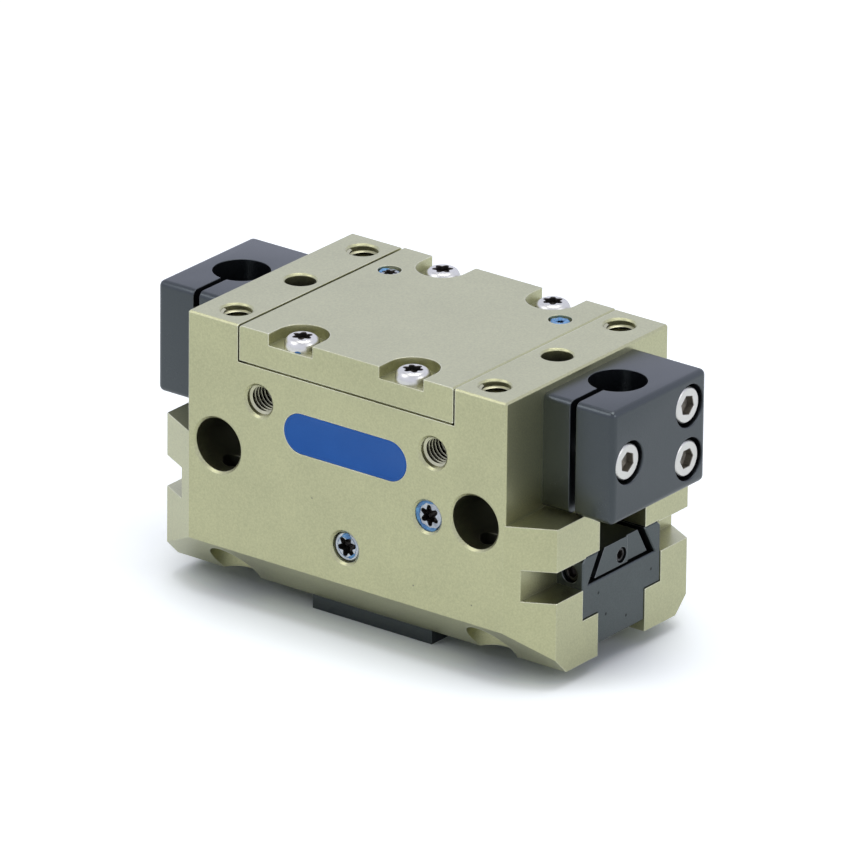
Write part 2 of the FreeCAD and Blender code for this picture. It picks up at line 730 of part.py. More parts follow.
def make_piston():
    """Make the piston with its seal and guide ring, the rod and the bolt through both."""
    bore = "(bore_diameter / 2 - running_clearance)"
    hole = "(bolt_thread / 2 + thread_gap)"
    well = "(bolt_head_diameter / 2 + bolt_head_recess)"
    ring_low = f"{PISTON_FOOT} + piston_land"
    ring_high = f"{ring_low} + guide_ring_height"
    seal_low = f"{ring_high} + piston_land"
    seal_high = f"{seal_low} + piston_seal_height"
    top = f"{PISTON_FOOT} + piston_height"
    head_seat = f"{top} - bolt_head_height - bolt_head_recess"
    body = new_body("piston")
    section = sketch(body, "section", "XZ_Plane")
    outline(section, [
        (hole, PISTON_FOOT), (bore, PISTON_FOOT),
        (bore, ring_low), (f"{bore} - guide_ring_depth", ring_low),
        (f"{bore} - guide_ring_depth", ring_high), (bore, ring_high),
        (bore, seal_low), (f"{bore} - piston_seal_depth", seal_low),
        (f"{bore} - piston_seal_depth", seal_high), (bore, seal_high),
        (bore, top), (well, top), (well, head_seat), (hole, head_seat),
    ])
    revolve(body, section)
    ring("piston_guide_ring", f"{bore} - guide_ring_depth + thread_gap", bore,
         f"{ring_low} + thread_gap", f"{ring_high} - thread_gap")
    ring("piston_seal", f"{bore} - piston_seal_depth + thread_gap", bore,
         f"{seal_low} + thread_gap", f"{seal_high} - thread_gap")
    ring("piston_rod", hole, "rod_diameter / 2", HOOK_TOP, PISTON_FOOT)
    bolt = headed_screw("piston_bolt", "bolt_thread", f"({head_seat} - {HOOK_TOP} + bolt_grip)",
                        "bolt_head_diameter", "bolt_head_height", is_node=True)
    place(bolt, z=head_seat)
    bush_top = "slot_head_top + bush_lip + bush_height"
    bush_wall = "rod_diameter / 2 + running_clearance"
    ring("rod_bush", bush_wall, "bush_diameter / 2", "slot_head_top + bush_lip", bush_top)
    ring("rod_seal", bush_wall, "bush_diameter / 2 - thread_gap",
         f"{bush_top} + thread_gap", f"{bush_top} + thread_gap + rod_seal_height")


def make_wedge_hook():
    """Make the hook: a wedge with a leaning T-rib on each flank."""
    body = new_body("wedge_hook")
    foot = "hook_foot / 2"
    crown = f"({foot} + wedge_slope * hook_height)"
    wedge = sketch(body, "wedge", "XZ_Plane")
    outline(wedge, [
        (f"-{foot}", "hook_lift"), (foot, "hook_lift"), (crown, HOOK_TOP), (f"-{crown}", HOOK_TOP),
    ])
    pad(body, wedge, "hook_width", both=True)
    neck = f"{foot} + rib_neck_depth"
    for side in ("", "-"):
        rib = sketch(body, "rib", "XY_Plane", "hook_lift")
        tee(rib, side, f"{foot} - rib_root", neck, f"{neck} + rib_head_depth",
            "rib_neck_width / 2", "rib_head_width / 2")
        pad(body, rib, "hook_height", lean=f"{side}wedge_slope")
    hole = sketch(body, "bolt_hole", "XY_Plane", HOOK_TOP)
    circles(hole, [("0", "0")], "bolt_thread + 2 * thread_gap")
    pocket(body, hole, "bolt_grip + thread_runout")


def tee(made, side, root, neck, head, neck_half, head_half):
    """Draw a T lying along X, with its stem at the root and its bar at the head."""
    outline(made, [
        (f"{side}({root})", f"-{neck_half}"), (f"{side}({neck})", f"-{neck_half}"),
        (f"{side}({neck})", f"-{head_half}"), (f"{side}({head})", f"-{head_half}"),
        (f"{side}({head})", head_half), (f"{side}({neck})", head_half),
        (f"{side}({neck})", neck_half), (f"{side}({root})", neck_half),
    ])


def jaw_form(body):
    """Raise the jaw's T-section and cut its leaning face with the T-groove of the rib."""
    stem = "(slot_stem_width / 2 - jaw_clearance)"
    head = "(slot_head_width / 2 - jaw_clearance)"
    shelf = "(slot_head_bottom + jaw_clearance)"
    shoulder = f"({head} - slot_head_chamfer)"
    start = f"({JAW_FLANK} + wedge_clearance)"
    section = sketch(body, "section", "YZ_Plane", start)
    outline(section, [
        (f"-{stem}", "jaw_bottom"), (stem, "jaw_bottom"), (stem, shelf), (head, shelf),
        (head, "jaw_top - slot_head_chamfer"), (shoulder, "jaw_top"), (f"-{shoulder}", "jaw_top"),
        (f"-{head}", "jaw_top - slot_head_chamfer"), (f"-{head}", shelf), (f"-{stem}", shelf),
    ])
    pad(body, section, f"{JAW_END} - {start}")
    face = sketch(body, "leaning_face", "XZ_Plane")
    outline(face, [
        (start, "jaw_bottom"), (f"{start} + wedge_slope * (jaw_top - jaw_bottom)", "jaw_top"),
        (start, "jaw_top"),
    ])
    pocket(body, face, both=True)
    groove = sketch(body, "rib_groove", "XY_Plane", "jaw_bottom")
    neck = f"{JAW_FLANK} + rib_neck_depth"
    tee(groove, "", f"{JAW_FLANK} - rib_root", f"{neck} - wedge_clearance",
        f"{neck} + rib_head_depth + wedge_clearance",
        "(rib_neck_width / 2 + wedge_clearance)", "(rib_head_width / 2 + wedge_clearance)")
    pocket(body, groove, "jaw_top - jaw_bottom", lean="wedge_slope")


def jaw_holes(body):
    """Cut the dovetail of the cam, the holes of its set screws and the holes for a finger."""
    floor = "dovetail_width / 2"
    over = f"({floor} - dovetail_slope * (jaw_top + cam_step - dovetail_floor))"
    dovetail = sketch(body, "dovetail", "YZ_Plane", JAW_END)
    outline(dovetail, [
        (f"-{floor}", "dovetail_floor"), (floor, "dovetail_floor"),
        (over, "jaw_top + cam_step"), (f"-{over}", "jaw_top + cam_step"),
    ])
    pocket(body, dovetail, "dovetail_reach")
    for side, inset, flip in (("", FRONT_SCREW, False), ("-", BACK_SCREW, True)):
        threads = sketch(body, "side_thread", "XZ_Plane", f"{side}slot_head_width / 2")
        circles(threads, [(f"{JAW_END} - {inset}", "side_screw_height")],
                "side_screw_diameter + 2 * thread_gap")
        pocket(body, threads, "slot_head_width / 2", flip=flip)
    middle = f"{GUIDE_END} - finger_inset"
    threads = sketch(body, "finger_threads", "XY_Plane", "jaw_bottom")
    circles(threads, [(f"{middle} {sign} finger_pitch / 2", "0") for sign in ("-", "+")], "finger_thread")
    pocket(body, threads, "finger_thread_depth", flip=True)
    dowel = sketch(body, "finger_dowel", "XY_Plane", "jaw_bottom")
    circles(dowel, [(middle, "0")], "finger_dowel")
    pocket(body, dowel, "finger_dowel_depth", flip=True)
    dress(body, "Chamfer", "jaw_edge", lambda edge: (
        all(near(corner.X, JAW_END) for corner in edge.Vertexes)
    ))


def make_cam(label):
    """Make the cam block, with the set-back half of its end face and its screw hole."""
    body = new_body(label)
    face = f"{JAW_END} - cam_inset"
    half = "cam_width / 2"
    top_half = f"({half} - dovetail_slope * (jaw_top - cam_bottom))"
    section = sketch(body, "section", "YZ_Plane", face)
    outline(section, [
        (f"cam_shift - {half}", "cam_bottom"), (f"cam_shift + {half}", "cam_bottom"),
        (f"cam_shift + {top_half}", "jaw_top"), (f"cam_shift - {top_half}", "jaw_top"),
    ])
    pad(body, section, "cam_length", flip=True)
    step = sketch(body, "step", "YZ_Plane", face)
    rectangle(step, "cam_step_offset", f"cam_shift + {half}", "cam_bottom", "jaw_top")
    pocket(body, step, "cam_step")
    hole = sketch(body, "screw_hole", "YZ_Plane", face)
    circles(hole, [("cam_shift", "cam_screw_height")], "cam_screw_diameter + 2 * thread_gap")
    pocket(body, hole, "cam_screw_recess + cam_screw_length + thread_gap")
    return body


def make_jaw(side, turn):
    """Make one base jaw with its cam and set screws, as they lie at one end of the guide."""
    jaw = new_body(f"base_jaw_{side}")
    jaw_form(jaw)
    jaw_holes(jaw)
    cam = make_cam(f"switch_cam_{side}")
    for body in (jaw, cam):
        place(body, turn=turn)
    sign = "" if side == "right" else "-"
    end_screw = set_screw(f"cam_screw_{side}", "cam_screw_diameter", "cam_screw_length", is_node=True)
    place(end_screw, f"{sign}({JAW_END} - cam_inset - cam_screw_recess)", f"{sign}cam_shift",
          "cam_screw_height", turn.multiply(RIGHTWARD))
    contact = "(side_screw_height - side_screw_tip / 2 - cam_bottom)"
    flank = f"(cam_width / 2 - dovetail_slope * {contact})"
    screws = []
    for facing, heading, inset in (("-", FORWARD, FRONT_SCREW), ("", BACKWARD, BACK_SCREW)):
        screw = set_screw(f"side_screw_{side}", "side_screw_diameter", "side_screw_length", "side_screw_tip")
        head = f"{facing}({flank} + side_screw_gap + side_screw_length) + cam_shift"
        place(screw, f"{sign}({JAW_END} - {inset})", f"{sign}({head})",
              "side_screw_height", turn.multiply(heading))
        screws.append(screw)
    group(f"side_screws_{side}", screws)


def make_bracket(side):
    """Make one sensor bracket with its mounting and clamp screws."""
    body = new_body(f"sensor_bracket_{side}")
    low = "(guide_height + bracket_lift)"
    plan = sketch(body, "plan", "XY_Plane", low)
    rectangle(plan, BLOCK_END, BRACKET_FACE, "-bracket_width / 2", "bracket_width / 2")
    pad(body, plan, BRACKET_HEIGHT)
    dress(body, "Fillet", "bracket_round", lambda edge: not near(edge.CenterOfMass.x, BLOCK_END))
    bore_x = f"({BLOCK_END} + sensor_bore_inset)"
    bore = sketch(body, "sensor_bore", "XY_Plane", BRACKET_TOP)
    pocket(body, circles(bore, [(bore_x, "0")], "sensor_bore"))
    slit = sketch(body, "slit", "XY_Plane", BRACKET_TOP)
    rectangle(slit, f"{bore_x} - slit_width / 2", f"{bore_x} + slit_width / 2", "-bracket_width / 2", "0")
    pocket(body, slit)
    mounts = [("bracket_screw_back", f"{BRACKET_MIDDLE} {sign} bracket_screw_pitch / 2")
              for sign in ("+", "-")]
    clamp = ("-clamp_screw_front", BRACKET_MIDDLE)
    wells = sketch(body, "wells", "YZ_Plane", BRACKET_FACE)
    pocket(body, circles(wells, [*mounts, clamp], "cap_counterbore"), "cap_recess + cap_head_height")
    ways = sketch(body, "screw_ways", "YZ_Plane", BRACKET_FACE)
    pocket(body, circles(ways, mounts, TAPPED))
    clamp_way = sketch(body, "clamp_way", "YZ_Plane", BRACKET_FACE)
    pocket(body, circles(clamp_way, [clamp], TAPPED), "bracket_length - clamp_screw_tip + thread_gap")
    sign = "" if side == "right" else "-"
    turn = UPWARD if side == "right" else FLIPPED
    if side == "left":
        place(body, z=f"2 * {BRACKET_MIDDLE}", turn=FLIPPED)
    mount_length = f"({CAP_SEAT} - {BLOCK_END} + bracket_screw_grip)"
    screws = []
    for across, height in mounts:
        screw = cap_screw(f"bracket_screw_{side}", mount_length)
        place(screw, f"{sign}{CAP_SEAT}", across, height, turn.multiply(RIGHTWARD))
        screws.append(screw)
    group(f"bracket_screws_{side}", screws)
    clamp_length = f"({CAP_SEAT} - {BLOCK_END} - clamp_screw_tip)"
    screw = cap_screw(f"clamp_screw_{side}", clamp_length, is_node=True)
    place(screw, f"{sign}{CAP_SEAT}", clamp[0], clamp[1], turn.multiply(RIGHTWARD))


def check_and_write():
    """Refuse a failed or broken object, then write one file for each node."""
    doc.recompute()
    failed = [item.Label for item in doc.Objects if {"Invalid", "Error"} & set(item.State)]
    failed += [item.Label for item in nodes if item.Shape.isNull() or not item.Shape.isValid()]
    if failed:
        raise RuntimeError(f"these objects failed: {failed}")
    os.makedirs("parts", exist_ok=True)
    for item in nodes:
        item.Shape.exportStep(f"parts/{item.Label}.step")


make_housing()
make_name_plate()
make_front_plugs()
make_cover()
make_base_plate()
make_piston()
make_wedge_hook()
make_jaw("right", UPWARD)
make_jaw("left", HALF_TURN)
make_bracket("right")
make_bracket("left")
check_and_write()
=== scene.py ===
"""Two-jaw parallel gripper: finishes, brackets, fasteners, threads and studio.

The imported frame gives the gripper's solid pieces in metres, Z up, standing on its base plate. This
script dresses them in procedural finishes, models the brackets, fasteners, plugs, threads, sealant and
plate in the places that the frame gives, and sets up a pale studio with the camera of the photograph.
"""

from __future__ import annotations

import json
import logging
import math
from collections.abc import Callable, Iterator, Sequence
from contextlib import contextmanager
from dataclasses import dataclass, field
from enum import Enum

import bpy
from mathutils import Matrix, Vector

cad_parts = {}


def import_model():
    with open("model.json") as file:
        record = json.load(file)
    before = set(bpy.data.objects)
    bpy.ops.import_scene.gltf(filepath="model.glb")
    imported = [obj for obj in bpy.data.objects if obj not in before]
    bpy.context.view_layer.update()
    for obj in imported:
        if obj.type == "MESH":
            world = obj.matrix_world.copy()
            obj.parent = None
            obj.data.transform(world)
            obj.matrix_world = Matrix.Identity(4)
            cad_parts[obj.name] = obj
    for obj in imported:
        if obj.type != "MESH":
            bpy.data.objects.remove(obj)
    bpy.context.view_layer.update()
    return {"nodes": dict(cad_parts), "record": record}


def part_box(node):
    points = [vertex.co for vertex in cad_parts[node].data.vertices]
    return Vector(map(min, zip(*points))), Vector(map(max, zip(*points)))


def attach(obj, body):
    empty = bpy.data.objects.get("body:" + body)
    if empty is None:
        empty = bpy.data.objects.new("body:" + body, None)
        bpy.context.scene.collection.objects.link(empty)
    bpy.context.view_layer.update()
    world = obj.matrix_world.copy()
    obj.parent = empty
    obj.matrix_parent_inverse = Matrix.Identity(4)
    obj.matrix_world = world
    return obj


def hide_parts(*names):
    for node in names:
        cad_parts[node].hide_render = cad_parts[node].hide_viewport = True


LOG = logging.getLogger("gripper")
MM = 0.001
FULL_TURN = 2 * math.pi

MERGE_GAP = 0.0005 * MM
SMOOTH_ANGLE = math.radians(32)
DRIVE_SIDES = 6

# Sockets of the Mix node: its share, then numbers and their result, then colours and theirs.
MIX_SHARE = 0
MIX_FIRST_NUMBER, MIX_SECOND_NUMBER, MIX_NUMBER = 2, 3, 0
MIX_FIRST_COLOUR, MIX_SECOND_COLOUR, MIX_COLOUR = 6, 7, 2

# Texture, dirt, worn edges, painted shade and painted highlights of all finishes. A band is the part of a
# pattern that is stretched to its full range.
SHADER_SAMPLES = 6
NOISE_DETAIL = 3.0
GRAIN_SEED = 0.37
SPECK_CORE = 0.6
DOT_CORE = 0.5
PATCH_BAND = (0.3, 0.7)
# Hollow band: dirt together with painted shade in inner corners.
HOLLOW_DIRT_AND_SHADE_BAND = (0.25, 0.9)
# Deep band: painted shade in deep holes.
DEEP_SHADE_BAND = (0.58, 0.82)
# Rim band: worn outer edges together with a painted highlight along them.
RIM_BAND = (0.2, 0.6)
# Patches where the dirt and the painted shade in inner corners gather.
DIRT_AND_SHADE_PATCHES = (0.25, 0.75, 0.5, 1.0)
# Patches where the worn edges and their painted highlights gather.
WEAR_AND_HIGHLIGHT_PATCHES = (0.35, 0.6, 0.45, 1.0)
PIT_STAIN, PIT_DEPTH = 0.7, 4.0
DENT_STAIN, DENT_DEPTH = 0.8, 6.0

WHITE = (1.0, 1.0, 1.0)

Colour = tuple[float, float, float]
Point = tuple[float, float]
Spot = tuple[float, float, float]
Value = bpy.types.NodeSocket | float


class Slot(Enum):
    """Finishes that the record names."""

    OLIVE = "olive_anodised"
    BLACK = "black_anodised"
    JAW = "jaw_steel"
    BRIGHT = "bright_screw"
    DARK = "dark_screw"
    PLUG = "sealed_plug"
    PLATE = "blue_plate"
    PISTON = "piston_metal"
    ROD = "rod_steel"
    BUSH = "bush_bronze"
    RUBBER = "seal_rubber"
    RING = "ring_plastic"


class Marks(Enum):
    """Tool marks on a surface, by the stretch of the noise along each axis."""

    NONE = (1.0, 1.0, 1.0)
    ALONG_X = (0.04, 1.0, 1.0)


class Side(Enum):
    """Ends of the gripper, by the sign of X."""

    RIGHT = 1
    LEFT = -1

    @property
    def label(self) -> str:
        """Name of the end as the nodes spell it."""
        return self.name.lower()


class Body(Enum):
    """Bodies that the pieces ride on."""

    GRIPPER = "gripper_body"
    JAW_RIGHT = "jaw_right"
    JAW_LEFT = "jaw_left"

    @classmethod
    def of_jaw(cls, side: Side) -> Body:
        """Body of the jaw at one end."""
        return cls.JAW_RIGHT if side is Side.RIGHT else cls.JAW_LEFT


class Wiring:
    """Nodes of a shader tree and the links between them."""

    def __init__(self, tree: bpy.types.NodeTree) -> None:
        """Start on the tree of a material or of the world."""
        self.tree = tree

    def add(self, kind: str, **inputs: Value) -> bpy.types.Node:
        """Add a node and feed its sockets.

        Args:
            kind: Type of the node, without its prefix.
            inputs: Values or sockets, by socket name with spaces as underscores.

        Returns:
            The new node.
        """
        node = self.tree.nodes.new(f"ShaderNode{kind}")
        for name, value in inputs.items():
            self.feed(node.inputs[name.replace("_", " ")], value)
        return node

    def feed(self, socket: bpy.types.NodeSocket, value: Value | Colour) -> None:
        """Link a socket to an output, or set its value to a number or a colour."""
        if isinstance(value, bpy.types.NodeSocket):
            self.tree.links.new(value, socket)
        elif isinstance(value, tuple):
            socket.default_value = (*value, 1.0) if socket.type == "RGBA" else value
        else:
            socket.default_value = value

    def math(self, operation: str, first: Value, second: Value = 0.0) -> bpy.types.NodeSocket:
        """Combine two values by an operation, such as ADD or MULTIPLY."""
        node = self.add("Math")
        node.operation = operation
        self.feed(node.inputs[0], first)
        self.feed(node.inputs[1], second)
        return node.outputs[0]

    def spread(
        self, value: Value, low: float, high: float, start: float = 0.0, end: float = 1.0
    ) -> bpy.types.NodeSocket:
        """Stretch the range from low to high to the one from start to end, held at its ends."""
        node = self.add("MapRange", Value=value, From_Min=low, From_Max=high, To_Min=start, To_Max=end)
        return node.outputs["Result"]

    def mix(self, amount: Value, first: Value | Colour, second: Value | Colour) -> bpy.types.NodeSocket:
        """Mix two colours by the share of the second."""
        node = self.add("Mix")
        node.data_type = "RGBA"
        self.feed(node.inputs[MIX_SHARE], amount)
        self.feed(node.inputs[MIX_FIRST_COLOUR], first)
        self.feed(node.inputs[MIX_SECOND_COLOUR], second)
        return node.outputs[MIX_COLOUR]

    def blend(self, amount: Value, first: Value, second: Value) -> bpy.types.NodeSocket:
        """Mix two numbers by the share of the second."""
        node = self.add("Mix")
        self.feed(node.inputs[MIX_SHARE], amount)
        self.feed(node.inputs[MIX_FIRST_NUMBER], first)
        self.feed(node.inputs[MIX_SECOND_NUMBER], second)
        return node.outputs[MIX_NUMBER]


class Graph(Wiring):
    """Nodes of one procedural material, wired to its main shader."""

    def __init__(self, name: str) -> None:
        """Start a material by its name."""
        self.material = bpy.data.materials.new(name)
        self.material.use_nodes = True
        super().__init__(self.material.node_tree)
        self.shader = self.tree.nodes["Principled BSDF"]
        self.place = self.add("TexCoord").outputs["Object"]

    def set(self, name: str, value: Value | Colour) -> None:
        """Feed an input of the main shader by name."""
        self.feed(self.shader.inputs[name], value)

    def noise(self, size: float, marks: Marks = Marks.NONE, seed: float = 0.0) -> bpy.types.NodeSocket:
        """Cloudy or streaky noise in the piece's own space.

        Args:
            size: Size of a patch in metres.
            marks: Tool marks that draw the noise out.
            seed: Shift that gives another pattern.

        Returns:
            Socket of a value from 0 to 1.
        """
        mapping = self.add("Mapping", Vector=self.place, Scale=marks.value, Location=(seed, seed, seed))
        node = self.add("TexNoise", Vector=mapping.outputs["Vector"], Scale=1.0 / size, Detail=NOISE_DETAIL)
        return node.outputs["Fac"]

    def specks(self, spacing: float, radius: float) -> bpy.types.NodeSocket:
        """Strew round specks, with sizes in metres: 1 in a speck and 0 elsewhere."""
        node = self.add("TexVoronoi", Vector=self.place, Scale=1.0 / spacing)
        share = radius / spacing
        return self.spread(node.outputs["Distance"], SPECK_CORE * share, share, 1.0, 0.0)

    def dots(self, points: Sequence[Spot], radius: float) -> bpy.types.NodeSocket:
        """Mark points of the piece, with a radius in metres: 1 in a mark and 0 elsewhere."""
        nearest: Value = 1.0
        for point in points:
            gap = self.add("VectorMath")
            gap.operation = "DISTANCE"
            self.feed(gap.inputs[0], self.place)
            self.feed(gap.inputs[1], point)
            nearest = self.math("MINIMUM", gap.outputs["Value"], nearest)
        return self.spread(nearest, DOT_CORE * radius, radius, 1.0, 0.0)

    def corner(self, reach: float, inside: bool) -> bpy.types.NodeSocket:
        """Find outer edges, or inner corners, of the piece.

        Args:
            reach: Width of the band along them in metres.
            inside: True for outer edges, False for inner corners.

        Returns:
            Socket that rises from 0 on open faces towards 1 there.
        """
        node = self.add("AmbientOcclusion", Distance=reach)
        node.samples = SHADER_SAMPLES
        node.inside = inside
        node.only_local = True
        return self.math("SUBTRACT", 1.0, node.outputs["AO"])

    def relief(self, height: Value, depth: float, edge_round: float) -> None:
        """Give the shader a bumpy normal with rounded edges.

        Args:
            height: Height pattern from 0 to 1.
            depth: Depth of the pattern in metres.
            edge_round: Radius of the rounding on sharp edges in metres.
        """
        edge = self.add("Bevel", Radius=edge_round)
        edge.samples = SHADER_SAMPLES
        bump = self.add("Bump", Height=height, Distance=depth, Strength=1.0, Normal=edge.outputs["Normal"])
        self.set("Normal", bump.outputs["Normal"])


@dataclass(frozen=True)
class Finish:
    """Surface of one material: colour, grain, tool marks, gloss, wear and dirt, with painted shade in corners
    and deep holes and painted highlights on edges.
    """

    name: str
    colour: Colour
    shade: Colour
    metallic: float
    roughness: float
    roughness_swing: float = 0.06
    mottle: float = 9.0 * MM
    grain: float = 0.28 * MM
    grain_share: float = 0.35
    grain_depth: float = 0.004 * MM
    marks: Marks = Marks.NONE
    # Colour of worn outer edges together with a painted highlight along them, then its band width and share.
    edge_colour: Colour | None = None
    edge_width: float = 0.16 * MM
    edge_share: float = 0.6
    edge_round: float = 0.12 * MM
    # Colour of stains and dirt, and of the painted shade in corners and deep holes; then the share and reach
    # of dirt with painted shade in inner corners.
    grime: Colour = (0.02, 0.02, 0.018)
    grime_share: float = 0.35
    grime_reach: float = 1.2 * MM
    pit_spacing: float = 0.0
    pit_radius: float = 0.16 * MM
    # Share and reach of the painted shade in deep holes.
    deep_share: float = 0.0
    deep_reach: float = 12.0 * MM
    dents: tuple[Spot, ...] = ()
    dent_radius: float = 0.24 * MM
    coat: float = 0.0
    coat_index: float = 1.5
    specular: float = 0.5
    tint: Colour = WHITE
    index: float = 1.5

    def build(self) -> bpy.types.Material:
        """Make the material."""
        graph = Graph(self.name)
        cloud = graph.noise(self.mottle)
        grain = graph.noise(self.grain, self.marks, GRAIN_SEED)
        fine = graph.math("MULTIPLY", grain, self.grain_share)
        patch = graph.math("ADD", fine, graph.math("MULTIPLY", cloud, 1.0 - self.grain_share))
        colour = graph.mix(graph.spread(patch, *PATCH_BAND), self.shade, self.colour)
        height = grain
        if self.pit_spacing:
            pits = graph.specks(self.pit_spacing, self.pit_radius)
            colour = graph.mix(graph.math("MULTIPLY", pits, PIT_STAIN), colour, self.grime)
            height = graph.math("SUBTRACT", grain, graph.math("MULTIPLY", pits, PIT_DEPTH))
        if self.dents:
            dents = graph.dots(self.dents, self.dent_radius)
            colour = graph.mix(graph.math("MULTIPLY", dents, DENT_STAIN), colour, self.grime)
            height = graph.math("SUBTRACT", height, graph.math("MULTIPLY", dents, DENT_DEPTH))
        # Dirt in patches together with painted shade in inner corners.
        if self.grime_share:
            hollow_shade_mask = graph.spread(graph.corner(self.grime_reach, False), *HOLLOW_DIRT_AND_SHADE_BAND)
            dirt_shade_mask = graph.math("MULTIPLY", hollow_shade_mask, graph.spread(cloud, *DIRT_AND_SHADE_PATCHES))
            colour = graph.mix(graph.math("MULTIPLY", dirt_shade_mask, self.grime_share), colour, self.grime)
        # Painted shade in deep holes.
        if self.deep_share:
            depth = graph.spread(graph.corner(self.deep_reach, False), *DEEP_SHADE_BAND)
            colour = graph.mix(graph.math("MULTIPLY", depth, self.deep_share), colour, self.grime)
        # Worn outer edges together with a painted highlight along them.
        if self.edge_colour:
            rim = graph.spread(graph.corner(self.edge_width, True), *RIM_BAND)
            wear_and_highlight_mask = graph.math("MULTIPLY", rim, graph.spread(cloud, *WEAR_AND_HIGHLIGHT_PATCHES))
            colour = graph.mix(graph.math("MULTIPLY", wear_and_highlight_mask, self.edge_share), colour, self.edge_colour)
        graph.set("Base Color", colour)
        dull = self.roughness + self.roughness_swing
        graph.set("Roughness", graph.spread(patch, *PATCH_BAND, dull, self.roughness))
        graph.set("Metallic", self.metallic)
        graph.set("IOR", self.index)
        graph.set("Specular IOR Level", self.specular)
        graph.set("Specular Tint", self.tint)
        if self.coat:
            graph.set("Coat Weight", self.coat)
            graph.set("Coat Roughness", self.roughness)
            graph.set("Coat IOR", self.coat_index)
        graph.relief(height, self.grain_depth, self.edge_round)
        return graph.material


FINISHES: dict[Slot, Finish] = {
    Slot.OLIVE: Finish(
        "olive_anodised", (0.488, 0.483, 0.242), (0.372, 0.369, 0.181), metallic=1.0, roughness=0.36,
        grain=0.30 * MM, grain_share=0.72, grain_depth=0.006 * MM,
        edge_colour=(0.88, 0.87, 0.70), edge_share=0.95, edge_width=0.28 * MM, edge_round=0.22 * MM,
        grime=(0.030, 0.029, 0.018), grime_share=0.6, deep_share=0.94, coat=1.0, coat_index=1.80,
        dents=((0.02480, -0.021, 0.01255), (0.01350, -0.021, 0.01290), (-0.00640, -0.021, 0.02240)),
        dent_radius=0.16 * MM,
    ),
    Slot.BLACK: Finish(
        "black_anodised", (0.005, 0.0055, 0.007), (0.002, 0.0025, 0.003), metallic=0.0, roughness=0.27,
        grain=0.22 * MM, grain_share=0.7, grain_depth=0.024 * MM,
        edge_colour=(0.17, 0.18, 0.19), edge_share=0.5, edge_round=0.20 * MM,
        pit_spacing=6.0 * MM, pit_radius=0.12 * MM, tint=(0.86, 0.97, 1.0), index=1.79,
    ),
    Slot.JAW: Finish(
        "jaw_steel", (0.110, 0.125, 0.124), (0.086, 0.097, 0.096), metallic=1.0, roughness=0.36,
        grain=0.20 * MM, grain_share=0.65, grain_depth=0.003 * MM, deep_share=0.8,
        edge_colour=(0.46, 0.47, 0.47), edge_share=0.6, edge_round=0.16 * MM, grime=(0.012, 0.012, 0.012),
        dents=(
            (0.0381, -0.0060, 0.0132), (0.0381, 0.0077, 0.0127),
            (0.0381, -0.0040, 0.0090), (0.0381, 0.0013, 0.0070),
        ),
        dent_radius=0.32 * MM,
    ),
    Slot.BRIGHT: Finish(
        "bright_zinc", (0.73, 0.715, 0.665), (0.63, 0.617, 0.57), metallic=1.0, roughness=0.30,
        grain=0.10 * MM, grain_depth=0.001 * MM, grime=(0.05, 0.045, 0.035), grime_share=0.8,
        grime_reach=0.7 * MM, edge_round=0.10 * MM,
    ),
    Slot.DARK: Finish(
        "blackened_steel", (0.075, 0.074, 0.072), (0.045, 0.045, 0.046), metallic=1.0, roughness=0.26,
        grain=0.12 * MM, edge_colour=(0.45, 0.46, 0.45), edge_share=0.7, grime_reach=0.8 * MM,
        edge_round=0.08 * MM,
    ),
    Slot.PLUG: Finish(
        "plug_zinc", (0.58, 0.61, 0.63), (0.26, 0.28, 0.31), metallic=1.0, roughness=0.30,
        mottle=1.3 * MM,
        grain=0.16 * MM, grain_depth=0.002 * MM, grime=(0.02, 0.02, 0.02), grime_share=0.85,
        grime_reach=0.8 * MM, edge_round=0.08 * MM,
    ),
    Slot.PLATE: Finish(
        "blue_plate", (0.024, 0.140, 0.488), (0.019, 0.117, 0.425), metallic=0.0, roughness=0.42,
        grain=0.20 * MM, grain_depth=0.002 * MM,
        edge_colour=(0.10, 0.20, 0.45), edge_share=0.4, specular=0.22,
    ),
    Slot.PISTON: Finish(
        "piston_metal", (0.70, 0.70, 0.70), (0.60, 0.60, 0.61), metallic=1.0, roughness=0.28,
        grain=0.14 * MM, marks=Marks.ALONG_X, edge_colour=(0.85, 0.85, 0.85),
    ),
    Slot.ROD: Finish(
        "rod_steel", (0.60, 0.61, 0.63), (0.52, 0.53, 0.55), metallic=1.0, roughness=0.18,
        grain=0.12 * MM, marks=Marks.ALONG_X, grain_depth=0.001 * MM,
    ),
    Slot.BUSH: Finish(
        "bush_bronze", (0.56, 0.37, 0.16), (0.45, 0.28, 0.11), metallic=1.0, roughness=0.34,
        grain=0.15 * MM,
    ),
    Slot.RUBBER: Finish(
        "seal_rubber", (0.022, 0.022, 0.023), (0.014, 0.014, 0.015), metallic=0.0, roughness=0.62,
        grain=0.12 * MM, grain_depth=0.006 * MM,
    ),
    Slot.RING: Finish(
        "ring_plastic", (0.42, 0.40, 0.35), (0.36, 0.34, 0.30), metallic=0.0, roughness=0.45,
        grain=0.15 * MM,
    ),
}

# Dark inside of the drive recesses: painted shade.
RECESS_SHADE = Finish(
    "drive_recess", (0.085, 0.074, 0.064), (0.028, 0.025, 0.022), metallic=0.8, roughness=0.45,
    mottle=0.8 * MM, grain=0.10 * MM, grime_share=0.0, edge_round=0.04 * MM,
)

# Brown-grey inside of the hex sockets, darker than the bright heads: painted shade.
SOCKET_SHADE = Finish(
    "socket_oxide", (0.400, 0.375, 0.320), (0.200, 0.185, 0.155), metallic=1.0, roughness=0.42,
    mottle=1.1 * MM, grain=0.12 * MM, grime=(0.03, 0.027, 0.022), grime_share=0.7, grime_reach=0.4 * MM,
    edge_round=0.04 * MM,
)

